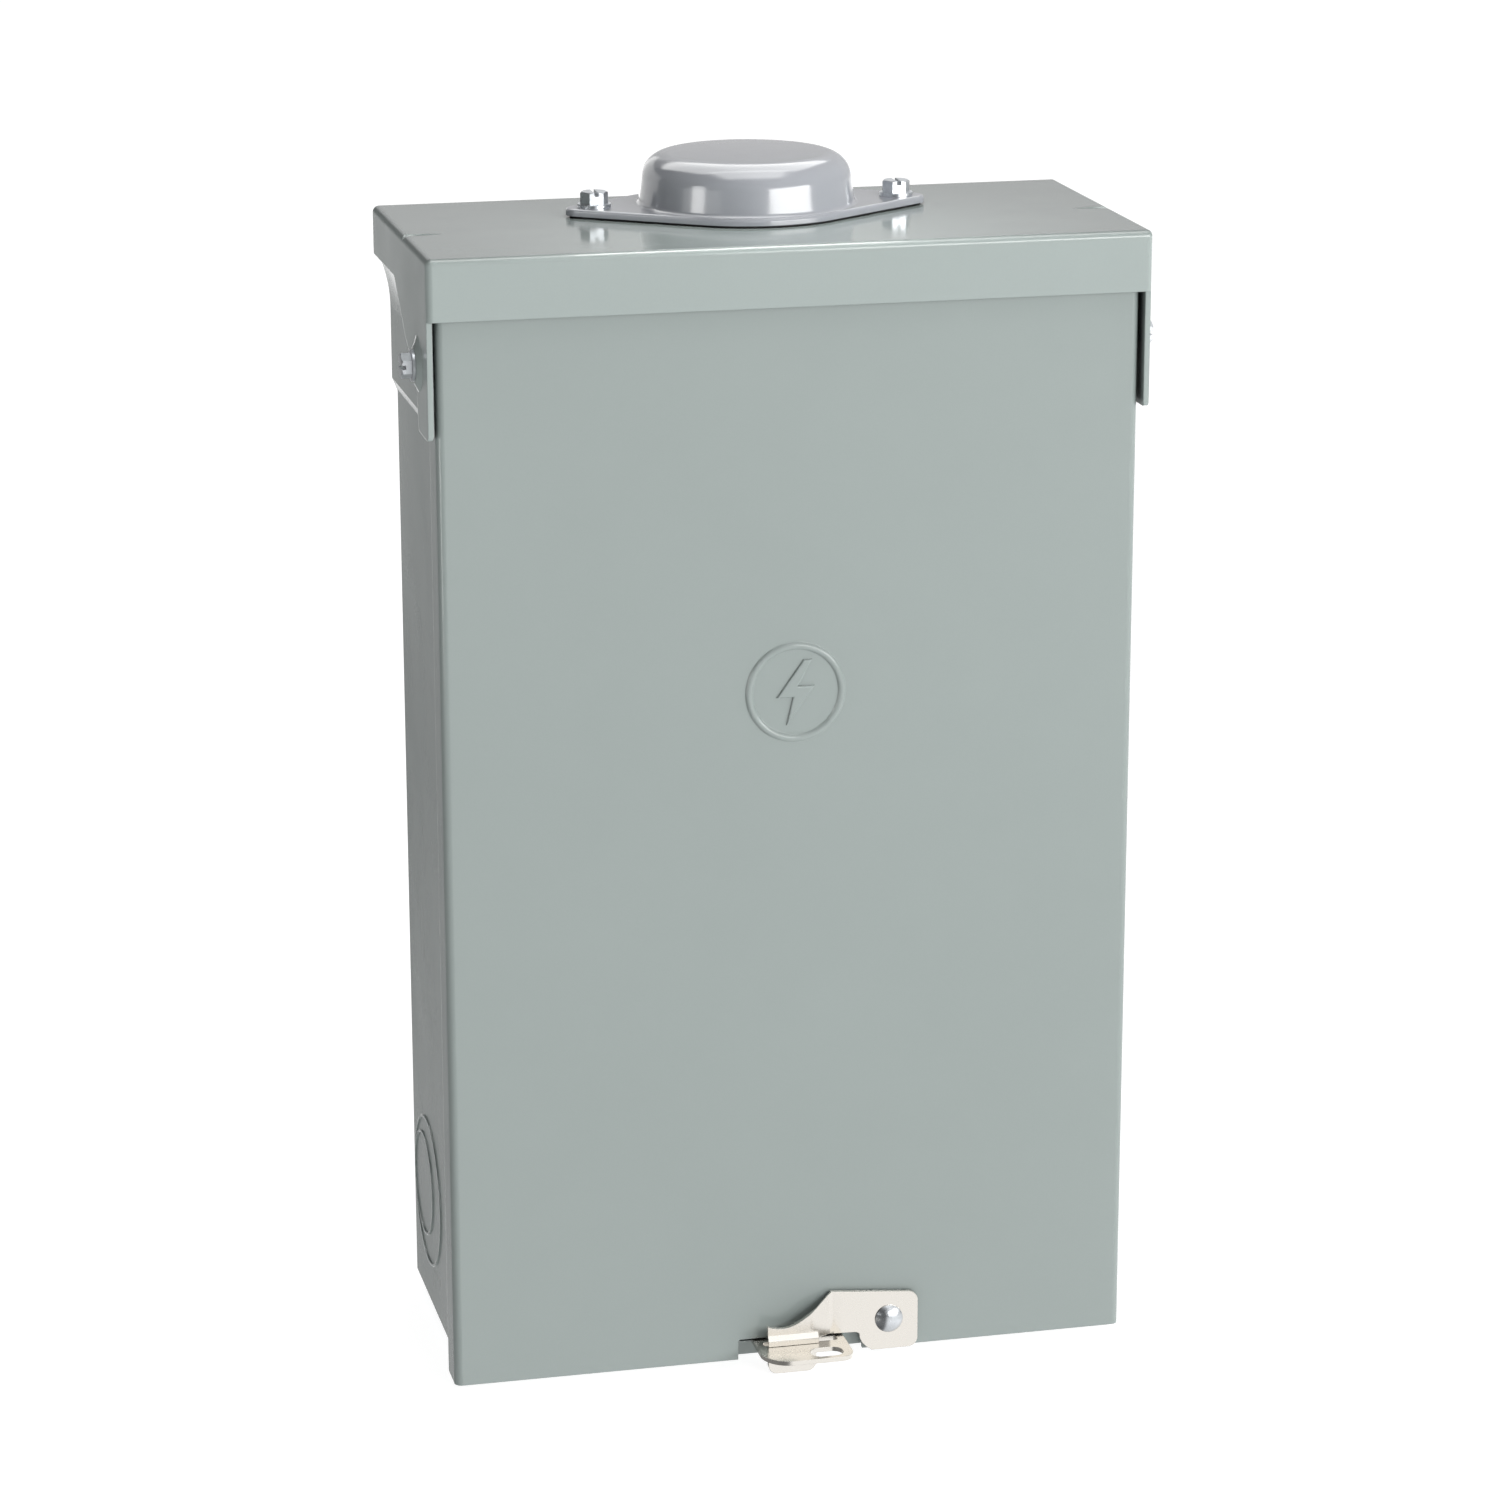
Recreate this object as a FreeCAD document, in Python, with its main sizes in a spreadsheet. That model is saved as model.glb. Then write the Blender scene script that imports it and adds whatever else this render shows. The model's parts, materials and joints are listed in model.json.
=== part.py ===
# Residential load center: rainproof surface-mounted enclosure with a lift-up cover,
# swing latch, blank hub plate, bus interior, branch breakers and dead front.
# Millimetres.  Origin: centre of the four wall-mounting holes, on the wall plane.
# +X to the right, +Y into the wall (the front faces -Y), +Z up.
import FreeCAD, Part
import Sketcher
import math, os
from FreeCAD import Vector, Rotation, Placement

os.makedirs("parts", exist_ok=True)
doc = FreeCAD.newDocument("load_center")

# ------------------------------------------------------------------ driving dimensions
DIMS = [
    ("cap_width", 232.0), ("cap_depth", 105.2), ("cap_top", 186.0), ("steel_gauge", 1.5),
    ("cap_front_drop", 19.5), ("cap_side_drop", 15.6), ("wing_drop", 57.0), ("wing_depth", 20.0),
    ("bend_outer", 2.1),
    ("case_width", 219.0), ("case_front", 98.0), ("case_bottom", 184.2), ("case_upper_half", 110.9),
    ("cover_width", 226.3), ("cover_front", 101.4), ("cover_flange", 13.3), ("cover_bottom", 186.0),
    ("cover_top", 167.0), ("cover_tongue_top", 170.0), ("cover_tongue_half", 106.5),
    ("pivot_back", 86.2), ("pivot_up", 150.0), ("pivot_shank_rad", 2.0), ("pivot_running_gap", 0.06),
    ("dimple_height", 1.4), ("notch_height", 7.0), ("notch_left", 18.4), ("notch_right", 23.9),
    ("hub_back", 37.0), ("hub_opening_rad", 31.0), ("hub_plate_gauge", 2.3), ("hub_dome_rad", 34.82),
    ("hub_dome_height", 19.8), ("hub_screw_half_pitch", 50.0), ("gasket_gauge", 0.7),
    ("mount_hole_rad", 3.5), ("mount_half_x", 75.0), ("mount_half_z", 140.0),
    ("knockout_back", 5.0), ("knockout_down", 144.7), ("knockout_large_rad", 25.4), ("knockout_small_rad", 17.6),
    ("latch_gauge", 1.5), ("latch_front", 103.7), ("latch_washer_gauge", 0.75), ("rivet_across", 32.4), ("rivet_down", 175.3),
    ("rivet_rad", 2.4), ("rivet_head_rad", 4.7), ("hasp_reach", 121.8), ("hasp_gauge", 1.5), ("hasp_top", 179.5),
    ("slot_left", 2.5), ("slot_length", 11.0), ("slot_width", 7.2), ("slot_middle", 116.5),
    ("hasp_left", 13.5), ("hasp_right", 16.6), ("tongue_left", 9.9), ("tongue_right", 7.2), ("tongue_front", 109.0),
    ("pan_front", 13.0), ("pan_gauge", 1.2), ("pan_half", 90.0),
    ("bus_gauge", 3.0), ("bus_back", 30.0), ("bus_bar_width", 8.0), ("stab_gauge", 2.0),
    ("space_pitch", 25.4), ("top_row", 50.8), ("breaker_inner", 4.0), ("breaker_outer", 82.0), ("breaker_thick", 25.0),
    ("breaker_back", 34.5), ("breaker_shoulder", 76.0), ("breaker_face", 87.0), ("neck_mid", 42.0), ("neck_half", 15.0),
    ("handle_axis", 74.0), ("handle_drum_rad", 12.2), ("handle_reach", 21.0), ("handle_lean", 20.0),
    ("deadfront_front", 84.0), ("deadfront_gauge", 1.2), ("deadfront_half", 104.0), ("deadfront_top", 118.0), ("deadfront_bottom", 176.0),
    ("terminal_bar_side", 10.0), ("terminal_bar_mid", 97.0),
]
sheet = doc.addObject("Spreadsheet::Sheet", "dims")
for i, (alias, value) in enumerate(DIMS):
    sheet.set("A%d" % (i + 1), alias)
    sheet.set("B%d" % (i + 1), repr(value))
    sheet.setAlias("B%d" % (i + 1), alias)
doc.recompute()


class Q:
    """A number that remembers the spreadsheet expression it came from."""
    def __init__(self, v, e=None):
        self.v = float(v)
        self.linked = e is not None
        self.e = e if e is not None else ("%.6f" % v if v >= 0 else "(0 - %.6f)" % -v)
    def _op(self, o, sign, f):
        o = q(o)
        r = Q(f(self.v, o.v), "(%s %s %s)" % (self.e, sign, o.e))
        r.linked = self.linked or o.linked
        return r
    def __add__(self, o): return self._op(o, "+", lambda a, b: a + b)
    def __sub__(self, o): return self._op(o, "-", lambda a, b: a - b)
    def __mul__(self, o): return self._op(o, "*", lambda a, b: a * b)
    def __truediv__(self, o): return self._op(o, "/", lambda a, b: a / b)
    def __radd__(self, o): return q(o) + self
    def __rsub__(self, o): return q(o) - self
    def __rmul__(self, o): return q(o) * self
    def __neg__(self): return q(0.0) - self


def q(x):
    return x if isinstance(x, Q) else Q(x)


def d(alias):
    return Q(float(sheet.get(alias)), "dims." + alias)


def put(obj, prop, value):
    value = q(value)
    if value.linked:
        obj.setExpression(prop, value.e)
    elif "." not in prop:
        setattr(obj, prop, value.v)
    else:
        obj.setExpression(prop, value.e)


gauge = d("steel_gauge")
counter = [0]


def uid(stem):
    counter[0] += 1
    return "%s_%03d" % (stem, counter[0])


# ------------------------------------------------------------------ primitives
def box(x0, x1, y0, y1, z0, z1, label=None):
    o = doc.addObject("Part::Box", uid("block"))
    put(o, "Length", q(x1) - x0); put(o, "Width", q(y1) - y0); put(o, "Height", q(z1) - z0)
    put(o, "Placement.Base.x", q(x0)); put(o, "Placement.Base.y", q(y0)); put(o, "Placement.Base.z", q(z0))
    if label:
        o.Label = label
    return o


AXES = {"+X": Vector(1, 0, 0), "-X": Vector(-1, 0, 0), "+Y": Vector(0, 1, 0), "-Y": Vector(0, -1, 0), "+Z": Vector(0, 0, 1), "-Z": Vector(0, 0, -1)}


def cyl(axis, x, y, z, rad, length, label=None, rad2=None):
    o = doc.addObject("Part::Cone" if rad2 is not None else "Part::Cylinder", uid("round"))
    if rad2 is not None:
        put(o, "Radius1", rad); put(o, "Radius2", rad2)
    else:
        put(o, "Radius", rad)
    put(o, "Height", length)
    o.Placement = Placement(Vector(0, 0, 0), Rotation(Vector(0, 0, 1), AXES[axis]))
    put(o, "Placement.Base.x", q(x)); put(o, "Placement.Base.y", q(y)); put(o, "Placement.Base.z", q(z))
    if label:
        o.Label = label
    return o


def fuse(objs, label=None):
    if len(objs) == 1:
        if label:
            objs[0].Label = label
        return objs[0]
    o = doc.addObject("Part::MultiFuse", uid("joined"))
    o.Shapes = objs
    if label:
        o.Label = label
    return o


def cut(base, tools, label=None):
    tool = fuse(tools) if len(tools) > 1 else tools[0]
    o = doc.addObject("Part::Cut", uid("cut"))
    o.Base = base; o.Tool = tool
    if label:
        o.Label = label
    return o


def group(objs, label):
    o = doc.addObject("Part::Compound", uid("set"))
    o.Links = objs
    o.Label = label
    return o


def mirror(obj, normal=(1, 0, 0)):
    o = doc.addObject("Part::Mirroring", uid("mirrored"))
    o.Source = obj
    o.Normal = Vector(*normal)
    o.Base = Vector(0, 0, 0)
    return o


def curve_kind(e):
    try:
        return e.Curve.TypeId
    except TypeError:
        return ""


def edge_along(e, axis):
    if curve_kind(e) != "Part::GeomLine":
        return False
    dv = e.tangentAt(e.FirstParameter)
    return abs(abs(dv.dot(axis)) - 1) < 1e-6


def pick(shape, axis, spots, tol=0.06):
    """Edges along an axis that pass through given (a, b) places in the other two coordinates."""
    av = {"X": Vector(1, 0, 0), "Y": Vector(0, 1, 0), "Z": Vector(0, 0, 1)}[axis]
    out = []
    for n, e in enumerate(shape.Edges):
        if not edge_along(e, av):
            continue
        c = e.CenterOfMass
        ab = {"X": (c.y, c.z), "Y": (c.x, c.z), "Z": (c.x, c.y)}[axis]
        for s in spots:
            if abs(ab[0] - q(s[0]).v) < tol and abs(ab[1] - q(s[1]).v) < tol:
                if len(s) < 3 or s[2](c):
                    out.append("Edge%d" % (n + 1))
                    break
    return out


class PD:
    """A PartDesign body with sketches bound to the sheet."""
    ROLES = {"XY": "XY_Plane", "XZ": "XZ_Plane", "YZ": "YZ_Plane"}

    def __init__(self, label):
        self.body = doc.addObject("PartDesign::Body", uid("body"))
        self.body.Label = label

    def sketch(self, plane, loops, w0, w1):
        b = self.body
        sk = b.newObject("Sketcher::SketchObject", uid("sketch"))
        base = [f for f in b.Origin.OriginFeatures if f.Role == self.ROLES[plane]][0]
        sk.AttachmentSupport = [(base, "")]
        sk.MapMode = "FlatFace"
        off = -q(w1) if plane == "XZ" else q(w0)
        if off.linked:
            sk.setExpression("AttachmentOffset.Base.z", off.e)
        else:
            sk.AttachmentOffset = Placement(Vector(0, 0, off.v), Rotation())
        geo, con, exprs = [], [], []
        for loop in loops:
            if loop[0] == "circle":
                _, cx, cy, r = loop
                k = len(geo)
                geo.append(Part.Circle(Vector(q(cx).v, q(cy).v, 0), Vector(0, 0, 1), q(r).v))
                con.append(Sketcher.Constraint("Radius", k, q(r).v)); exprs.append(q(r))
                con.append(Sketcher.Constraint("DistanceX", -1, 1, k, 3, q(cx).v)); exprs.append(q(cx))
                con.append(Sketcher.Constraint("DistanceY", -1, 1, k, 3, q(cy).v)); exprs.append(q(cy))
                continue
            if loop[0] == "geo":
                geo.extend(loop[1])
                continue
            k0 = len(geo)
            n = len(loop)
            ends = []
            for i in range(n):
                a, c = loop[i], loop[(i + 1) % n]
                pa, pc = Vector(q(a[0]).v, q(a[1]).v, 0), Vector(q(c[0]).v, q(c[1]).v, 0)
                if len(a) > 2:
                    pm = Vector(q(a[2]).v, q(a[3]).v, 0)
                    geo.append(Part.Arc(pa, pm, pc))
                    ends.append((1, 2) if (pm - pa).cross(pc - pm).z > 0 else (2, 1))
                else:
                    geo.append(Part.LineSegment(pa, pc))
                    ends.append((1, 2))
            for i in range(n):
                con.append(Sketcher.Constraint("Coincident", k0 + i, ends[i][1], k0 + (i + 1) % n, ends[(i + 1) % n][0])); exprs.append(None)
            for i in range(n):
                for kind, val in (("DistanceX", loop[i][0]), ("DistanceY", loop[i][1])):
                    val = q(val)
                    if val.linked:
                        con.append(Sketcher.Constraint(kind, -1, 1, k0 + i, ends[i][0], val.v)); exprs.append(val)
        sk.addGeometry(geo, False)
        if con:
            sk.addConstraint(con)
            for i, e in enumerate(exprs):
                if e is not None and e.linked:
                    sk.setExpression("Constraints[%d]" % i, e.e)
        return sk

    def pad(self, plane, loops, w0, w1):
        sk = self.sketch(plane, loops, w0, w1)
        f = self.body.newObject("PartDesign::Pad", uid("pad"))
        f.Profile = sk
        f.Type = 0
        put(f, "Length", q(w1) - w0)
        f.Reversed = False
        sk.Visibility = False
        return self

    def pocket(self, plane, loops, w0, w1):
        doc.recompute()
        before = self.body.Shape.Volume
        sk = self.sketch(plane, loops, w0, w1)
        f = self.body.newObject("PartDesign::Pocket", uid("pocket"))
        f.Profile = sk
        f.Type = 0
        put(f, "Length", q(w1) - w0)
        f.Reversed = True
        doc.recompute()
        if not self.body.Shape.Volume < before - 1e-6:
            raise SystemExit("a pocket in %s removed nothing: %s" % (self.body.Label, [(o.Name, o.State) for o in self.body.Group if "Sketch" not in o.TypeId]))
        return self

    def revolve(self, plane, geo, w, axis="V_Axis", groove=False):
        sk = self.sketch(plane, [("geo", geo)], w, w)
        f = self.body.newObject("PartDesign::Groove" if groove else "PartDesign::Revolution", uid("turned"))
        f.Profile = sk
        f.ReferenceAxis = (sk, [axis])
        f.Angle = 360.0
        return self

    def fillet(self, axis, spots, rad, chamfer=False):
        doc.recompute()
        names = pick(self.body.Shape, axis, spots)
        if not names:
            raise SystemExit("no edge to round in %s at %s" % (self.body.Label, [(q(s[0]).v, q(s[1]).v) for s in spots]))
        f = self.body.newObject("PartDesign::Chamfer" if chamfer else "PartDesign::Fillet", uid("rounded"))
        f.Base = (f.BaseFeature, names)
        put(f, "Size" if chamfer else "Radius", rad)
        doc.recompute()
        return self

    def place(self, x=0, y=0, z=0, rot=None):
        self.body.Placement = Placement(Vector(0, 0, 0), rot or Rotation())
        put(self.body, "Placement.Base.x", q(x)); put(self.body, "Placement.Base.y", q(y)); put(self.body, "Placement.Base.z", q(z))
        return self


def rect(x0, x1, y0, y1):
    return [(x0, y0), (x1, y0), (x1, y1), (x0, y1)]


def hexagon(af, flat="y"):
    r = q(af) / math.sqrt(3.0)
    out = []
    for k in range(6):
        a = math.radians(60 * k + (0 if flat == "y" else 30))
        out.append((r * round(math.cos(a), 9), r * round(math.sin(a), 9)))
    return out


def hex_screw(name, x, y, z, axis, af, head, washer_rad, washer, shank_rad, shank, slot=1.3, tip=0.0):
    """Hex washer-head screw; x, y, z is the centre of the washer's underside, axis points out of the head."""
    b = PD(name)
    b.pad("XY", [("circle", 0.0, 0.0, washer_rad)], 0.0, washer)
    b.pad("XY", [hexagon(af)], 0.0, q(washer) + head)
    b.pad("XY", [("circle", 0.0, 0.0, shank_rad)], -q(shank), 0.2)
    top = q(washer).v + q(head).v
    r = q(af).v / math.sqrt(3.0)
    # chamfer of the hexagon's corners, turned
    p = [Vector(r * 0.86, top, 0), Vector(r + 1.0, top, 0), Vector(r + 1.0, top - 1.15, 0)]
    b.revolve("XZ", [Part.LineSegment(p[0], p[1]), Part.LineSegment(p[1], p[2]), Part.LineSegment(p[2], p[0])], 0.0, groove=True)
    if slot:
        b.pocket("XY", [rect(-q(slot) / 2, q(slot) / 2, -r - 1, r + 1)], top - 1.3, top + 0.1)
    b.place(x, y, z, Rotation(Vector(0, 0, 1), AXES[axis]))
    return b.body


def pan_screw(name, x, y, z, axis, head_rad, head, shank_rad, shank, recess=0.55):
    """Pan-head screw with a square recess; x, y, z is the centre of the head's underside."""
    b = PD(name)
    b.pad("XY", [("circle", 0.0, 0.0, head_rad)], 0.0, head)
    doc.recompute()
    f = b.body.newObject("PartDesign::Fillet", uid("rounded"))
    top = [n + 1 for n, e in enumerate(b.body.Shape.Edges) if curve_kind(e) == "Part::GeomCircle" and abs(e.CenterOfMass.z - q(head).v) < 1e-6]
    f.Base = (f.BaseFeature, ["Edge%d" % k for k in top])
    put(f, "Radius", q(head) * 0.6)
    b.pad("XY", [("circle", 0.0, 0.0, shank_rad)], -q(shank), 0.2)
    a = q(head_rad) * 0.3
    b.pocket("XY", [rect(-a, a, -a, a)], q(head) * (1 - recess), q(head) + 0.2)
    b.place(x, y, z, Rotation(Vector(0, 0, 1), AXES[axis]))
    return b.body


# ================================================================== 1  wrapper: back and two sides of the case
hw = d("case_width") / 2
hu = d("case_upper_half")
top_in = d("cap_top") - gauge - 0.1
flare = d("cap_width") / 2 - gauge - 0.05
bot = -d("case_bottom")


FLARE_FOOT, FLARE_RAD = 153.0, 42.9      # the flare is one concave bend, tangent to the wall at its foot


def flare_point(rad, rise):
    """Place on the concave bend: distance out from the wall line, and height."""
    return FLARE_RAD - math.sqrt(rad * rad - rise * rise), FLARE_FOOT + rise


def side_outer(sx):
    reach = (flare - hu).v
    rise = math.sqrt(FLARE_RAD ** 2 - (FLARE_RAD - reach) ** 2)
    mx, mz = flare_point(FLARE_RAD, rise / 2)
    return [(hw * sx, bot), (hw * sx, q(125.5)), (hu * sx, q(129.0)), (hu * sx, q(FLARE_FOOT), (hu + mx) * sx, q(mz)),
            (flare * sx, q(FLARE_FOOT + rise)), (flare * sx, top_in - 1.3), ((flare - 1.3) * sx, top_in)]


def side_inner(sx):
    g = gauge
    big = FLARE_RAD + g.v
    rise = math.sqrt(big ** 2 - (FLARE_RAD - (flare - g - hu).v) ** 2)
    mx, mz = flare_point(big, rise / 2)
    return [((flare - g) * sx, top_in), ((flare - g) * sx, q(FLARE_FOOT + rise), (hu + mx) * sx, q(mz)), ((hu - g) * sx, q(FLARE_FOOT)),
            ((hu - g) * sx, q(129.2)), ((hw - g) * sx, q(125.7)), ((hw - g) * sx, bot)]


def backwards(pts):
    """The same run of vertices and arcs, walked the other way."""
    return [tuple(pts[i][:2]) + (tuple(pts[i - 1][2:]) if i > 0 else ()) for i in range(len(pts) - 1, -1, -1)]


wr = PD("case_wrapper")
left_outer = side_outer(-1)
wr.pad("XZ", [side_outer(1) + backwards(left_outer)], -gauge, 0.0)
wr.pad("XZ", [side_outer(1) + side_inner(1)], -d("case_front"), 0.0)
wr.pad("XZ", [side_outer(-1) + side_inner(-1)], -d("case_front"), 0.0)
wr.fillet("Z", [(hw, 0.0), (-hw, 0.0)], 2.4)
# front top corners stand back to let the cover's upper edge turn in
wr.pocket("YZ", [rect(-d("case_front") - 1, -67.2, d("pivot_up") + 6.0, 190.0)], -120.0, 120.0)
wr.pocket("YZ", [rect(-d("pivot_back") - 4.8, -d("pivot_back") + 4.7, d("pivot_up") - 5.5, d("pivot_up") + 7.0)], -120.0, 120.0)
# wall-mounting holes and holes for the interior's screws
mx, mz = d("mount_half_x"), d("mount_half_z")
wr.pocket("XZ", [("circle", sx * mx, sz * mz, d("mount_hole_rad")) for sx in (1, -1) for sz in (1, -1)], -gauge - 0.5, 0.5)
wr.pocket("XZ", [("circle", x, z, 2.0) for x, z in ((60, 117), (-60, 117), (60, -75), (-60, -75), (40, -120), (-40, -120))] + [("circle", 30.0, -89.0, 2.4)], -gauge - 0.5, 0.5)
# eccentric nested knockouts low on both sides: sheared rims standing a little proud, sharing one tangent near the wall
kb, kz = -d("knockout_back"), -d("knockout_down")
for sx in (1, -1):
    for r in (d("knockout_large_rad"), d("knockout_small_rad")):
        cy = kb - r
        if sx > 0:
            wr.pad("YZ", [("circle", cy, kz, r + 0.36), ("circle", cy, kz, r - 0.36)], hw - 0.3, hw + 0.38)
        else:
            wr.pad("YZ", [("circle", cy, kz, r + 0.36), ("circle", cy, kz, r - 0.36)], -hw - 0.38, -hw + 0.3)
case_wrapper = wr.body

# ================================================================== 2  bottom endwall
be = PD("bottom_endwall")
bz = -d("case_bottom")
ix = hw - gauge - 0.05
fy = -d("case_front") + 0.1
be.pad("XY", [rect(-ix, ix, fy, -gauge - 0.05)], bz, bz + gauge)
be.pad("YZ", [rect(fy, fy + gauge, bz, bz + 8.0)], -ix, -d("notch_left") - 6.0)
be.pad("YZ", [rect(fy, fy + gauge, bz, bz + 8.0)], d("notch_right") + 6.0, ix)
be.pad("YZ", [rect(fy, fy + gauge, -d("cover_bottom") + 0.3, -d("hasp_top") - d("hasp_gauge"))], -d("notch_left") - 6.0, d("notch_right") + 6.0)
be.pad("XZ", [rect(-ix, ix, bz, bz + 10.0)], -gauge * 2 - 0.05, -gauge - 0.05)
be.pad("YZ", [rect(fy + 6, -gauge - 0.05, bz, bz + 10.0)], -ix, -ix + gauge)
be.pad("YZ", [rect(fy + 6, -gauge - 0.05, bz, bz + 10.0)], ix - gauge, ix)
for cx, r in ((-52.0, 17.6), (0.0, 22.0), (52.0, 17.6)):
    be.pocket("XY", [("circle", cx, -45.0, q(r) + 0.4), ("circle", cx, -45.0, q(r) - 0.4)], bz - 0.2, bz + 0.5)
bottom_endwall = be.body

# ================================================================== 3  top cap (top endwall with rain flange and wings)
cw = d("cap_width") / 2
cd = d("cap_depth")
ct = d("cap_top")
wd = d("wing_drop")
bend = d("bend_outer")
cap = PD("top_cap_sheet")
cap.pad("XY", [rect(-cw, cw, -cd, 0.0)], ct - wd, ct)
cap.fillet("Z", [(cw, -cd), (-cw, -cd)], bend)
doc.recompute()
fil = cap.body.newObject("PartDesign::Fillet", "cap_upper_bend")
upper = []
for n, e in enumerate(cap.body.Shape.Edges):
    bb = e.BoundBox
    if abs(bb.ZMin - ct.v) < 1e-4 and abs(bb.ZMax - ct.v) < 1e-4 and not (abs(bb.YMin) < 1e-4 and abs(bb.YMax) < 1e-4):
        upper.append("Edge%d" % (n + 1))
fil.Base = (fil.BaseFeature, upper)
put(fil, "Radius", bend)
cap.pocket("XY", [rect(-cw + gauge, cw - gauge, -cd + gauge, 1.0)], ct - wd - 1, ct - gauge)
cap.fillet("X", [(-cd + gauge, ct - gauge)], 1.3)
cap.fillet("Y", [(cw - gauge, ct - gauge), (-cw + gauge, ct - gauge)], 1.3)
# side outline: short rear flange, slope, wing
sd = d("cap_side_drop")
cap.pocket("YZ", [[(-cd + 20.0, ct - wd - 1), (-cd + 20.0, ct - wd), (-cd + 23.0, ct - 41.0), (-cd + 42.0, ct - 32.0), (-cd + 63.0, ct - sd), (1.0, ct - sd), (1.0, ct - wd - 1)]], -cw - 1, cw + 1)
# front flange ends above the wings' lower parts
cap.pocket("XZ", [rect(-cw - 1, cw + 1, ct - wd - 1, ct - d("cap_front_drop"))], -cd - 1, -cd + 1.9)
cap.fillet("X", [(-cd + 20.0, ct - wd), (-cd + 1.9, ct - wd)], 2.0)
cap.fillet("X", [(-cd + 63.0, ct - sd), (-cd + 42.0, ct - 32.0), (-cd + 23.0, ct - 41.0)], 4.0)
# hub opening and screw holes
hy = -d("hub_back")
hp = d("hub_screw_half_pitch")
cap.pocket("XY", [("circle", 0.0, hy, d("hub_opening_rad"))], ct - 5, ct + 1)
cap.pocket("XY", [("circle", hp, hy, 2.3), ("circle", -hp, hy, 2.3)], ct - 5, ct + 1)
cap_sheet = cap.body
py, pz = -d("pivot_back"), d("pivot_up")
dh = d("dimple_height")
bumps, hollows = [], []
for s, ax in ((1, "+X"), (-1, "-X")):
    bumps.append(cyl(ax, (cw - 0.4) * s, py, pz, 9.2, dh + 0.4, rad2=5.6))
    bumps.append(cyl(ax, (cw - 0.4) * s, py, pz + 3.0, 7.6, dh * 0.75 + 0.4, rad2=3.2))
    hollows.append(cyl(ax, (cw - gauge - 0.4) * s, py, pz, 8.6, dh + 0.4, rad2=5.0))
    hollows.append(cyl(ax, (cw - 4) * s, py, pz, d("pivot_shank_rad"), 9.0))
# pressed stiffening creases across the long side bends
for s in (1, -1):
    o = cyl("+X", 0.0, 0.0, 0.0, 2.4, 22.0)
    rot = Rotation(Vector(0, 0, 1), Vector(-s * math.cos(math.radians(6)), 0, math.sin(math.radians(6))))
    o.Placement = Placement(Vector(0, 0, 0), rot)
    put(o, "Placement.Base.x", (cw + 1.0) * s); put(o, "Placement.Base.y", -cd + 46.0); put(o, "Placement.Base.z", ct + 0.95)
    hollows.append(o)
top_cap = cut(fuse([cap_sheet] + bumps), hollows, "top_cap")

# ================================================================== 4-6  hub closing plate, gasket, screws
def lozenge(r_mid, r_tip, x_tip, grow=0.0):
    """Outline of a round middle with two tapered ears: arcs and tangent lines."""
    R, r, x = r_mid + grow, r_tip + grow, x_tip
    a = math.acos((R - r) / x)
    geo = []
    up = [Vector(R * math.cos(a), R * math.sin(a), 0), Vector(x + r * math.cos(a), r * math.sin(a), 0)]
    def sh(v, sx, sy): return Vector(v.x * sx, v.y * sy + hy.v, 0)
    geo.append(Part.Arc(sh(up[0], 1, 1), Vector(0, R + hy.v, 0), sh(up[0], -1, 1)))
    geo.append(Part.LineSegment(sh(up[0], -1, 1), sh(up[1], -1, 1)))
    geo.append(Part.Arc(sh(up[1], -1, 1), Vector(-x - r, hy.v, 0), sh(up[1], -1, -1)))
    geo.append(Part.LineSegment(sh(up[1], -1, -1), sh(up[0], -1, -1)))
    geo.append(Part.Arc(sh(up[0], -1, -1), Vector(0, -R + hy.v, 0), sh(up[0], 1, -1)))
    geo.append(Part.LineSegment(sh(up[0], 1, -1), sh(up[1], 1, -1)))
    geo.append(Part.Arc(sh(up[1], 1, -1), Vector(x + r, hy.v, 0), sh(up[1], 1, 1)))
    geo.append(Part.LineSegment(sh(up[1], 1, 1), sh(up[0], 1, 1)))
    return geo


gk = PD("hub_gasket")
gz = ct + 0.02
gk.pad("XY", [("geo", lozenge(36.5, 5.2, 54.0, -1.2))], gz, gz + d("gasket_gauge"))
gk.pocket("XY", [("circle", 0.0, hy, d("hub_opening_rad") + 0.5), ("circle", hp, hy, 2.6), ("circle", -hp, hy, 2.6)], ct - 1, ct + 3)
hub_gasket = gk.body

hb = PD("hub_plate_flat")
pz0 = gz + d("gasket_gauge")
pz1 = pz0 + d("hub_plate_gauge")
hb.pad("XY", [("geo", lozenge(36.5, 5.2, 54.0))], pz0, pz1)
R, Hd = d("hub_dome_rad").v, ct.v + d("hub_dome_height").v
z1 = pz1.v


def arc3(c, r, a0, a1):
    p = [Vector(c[0] + r * math.cos(math.radians(a)), c[1] + r * math.sin(math.radians(a)), 0) for a in (a0, (a0 + a1) / 2.0, a1)]
    return Part.Arc(*p), p[0], p[2]


# dome profile (radius from the hub axis, height): foot fillet, leaning wall, broad shoulder, slightly crowned top
lean = 7.0
cr = 8.8
ft, f0, f1 = arc3((R + 1.4, z1 + 1.4), 1.4, 270, 180 + lean)
lr_ = math.radians(lean)
s0_z = Hd - 0.7 - cr + cr * math.sin(lr_)
sh_c = (f1.x - math.tan(lr_) * (s0_z - f1.y) - cr * math.cos(lr_), Hd - 0.7 - cr)
sh, s0, s1 = arc3(sh_c, cr, lean, 86.86)


def crown(p, top):
    """Arc of a sphere centred on the hub axis, from p up to the axis at the given height."""
    drop = top - p.y
    rad = (p.x * p.x + drop * drop) / (2.0 * drop)
    a = math.asin(p.x / rad) / 2.0
    return Part.Arc(p, Vector(rad * math.sin(a), top - rad + rad * math.cos(a), 0), Vector(0, top, 0))


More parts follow.
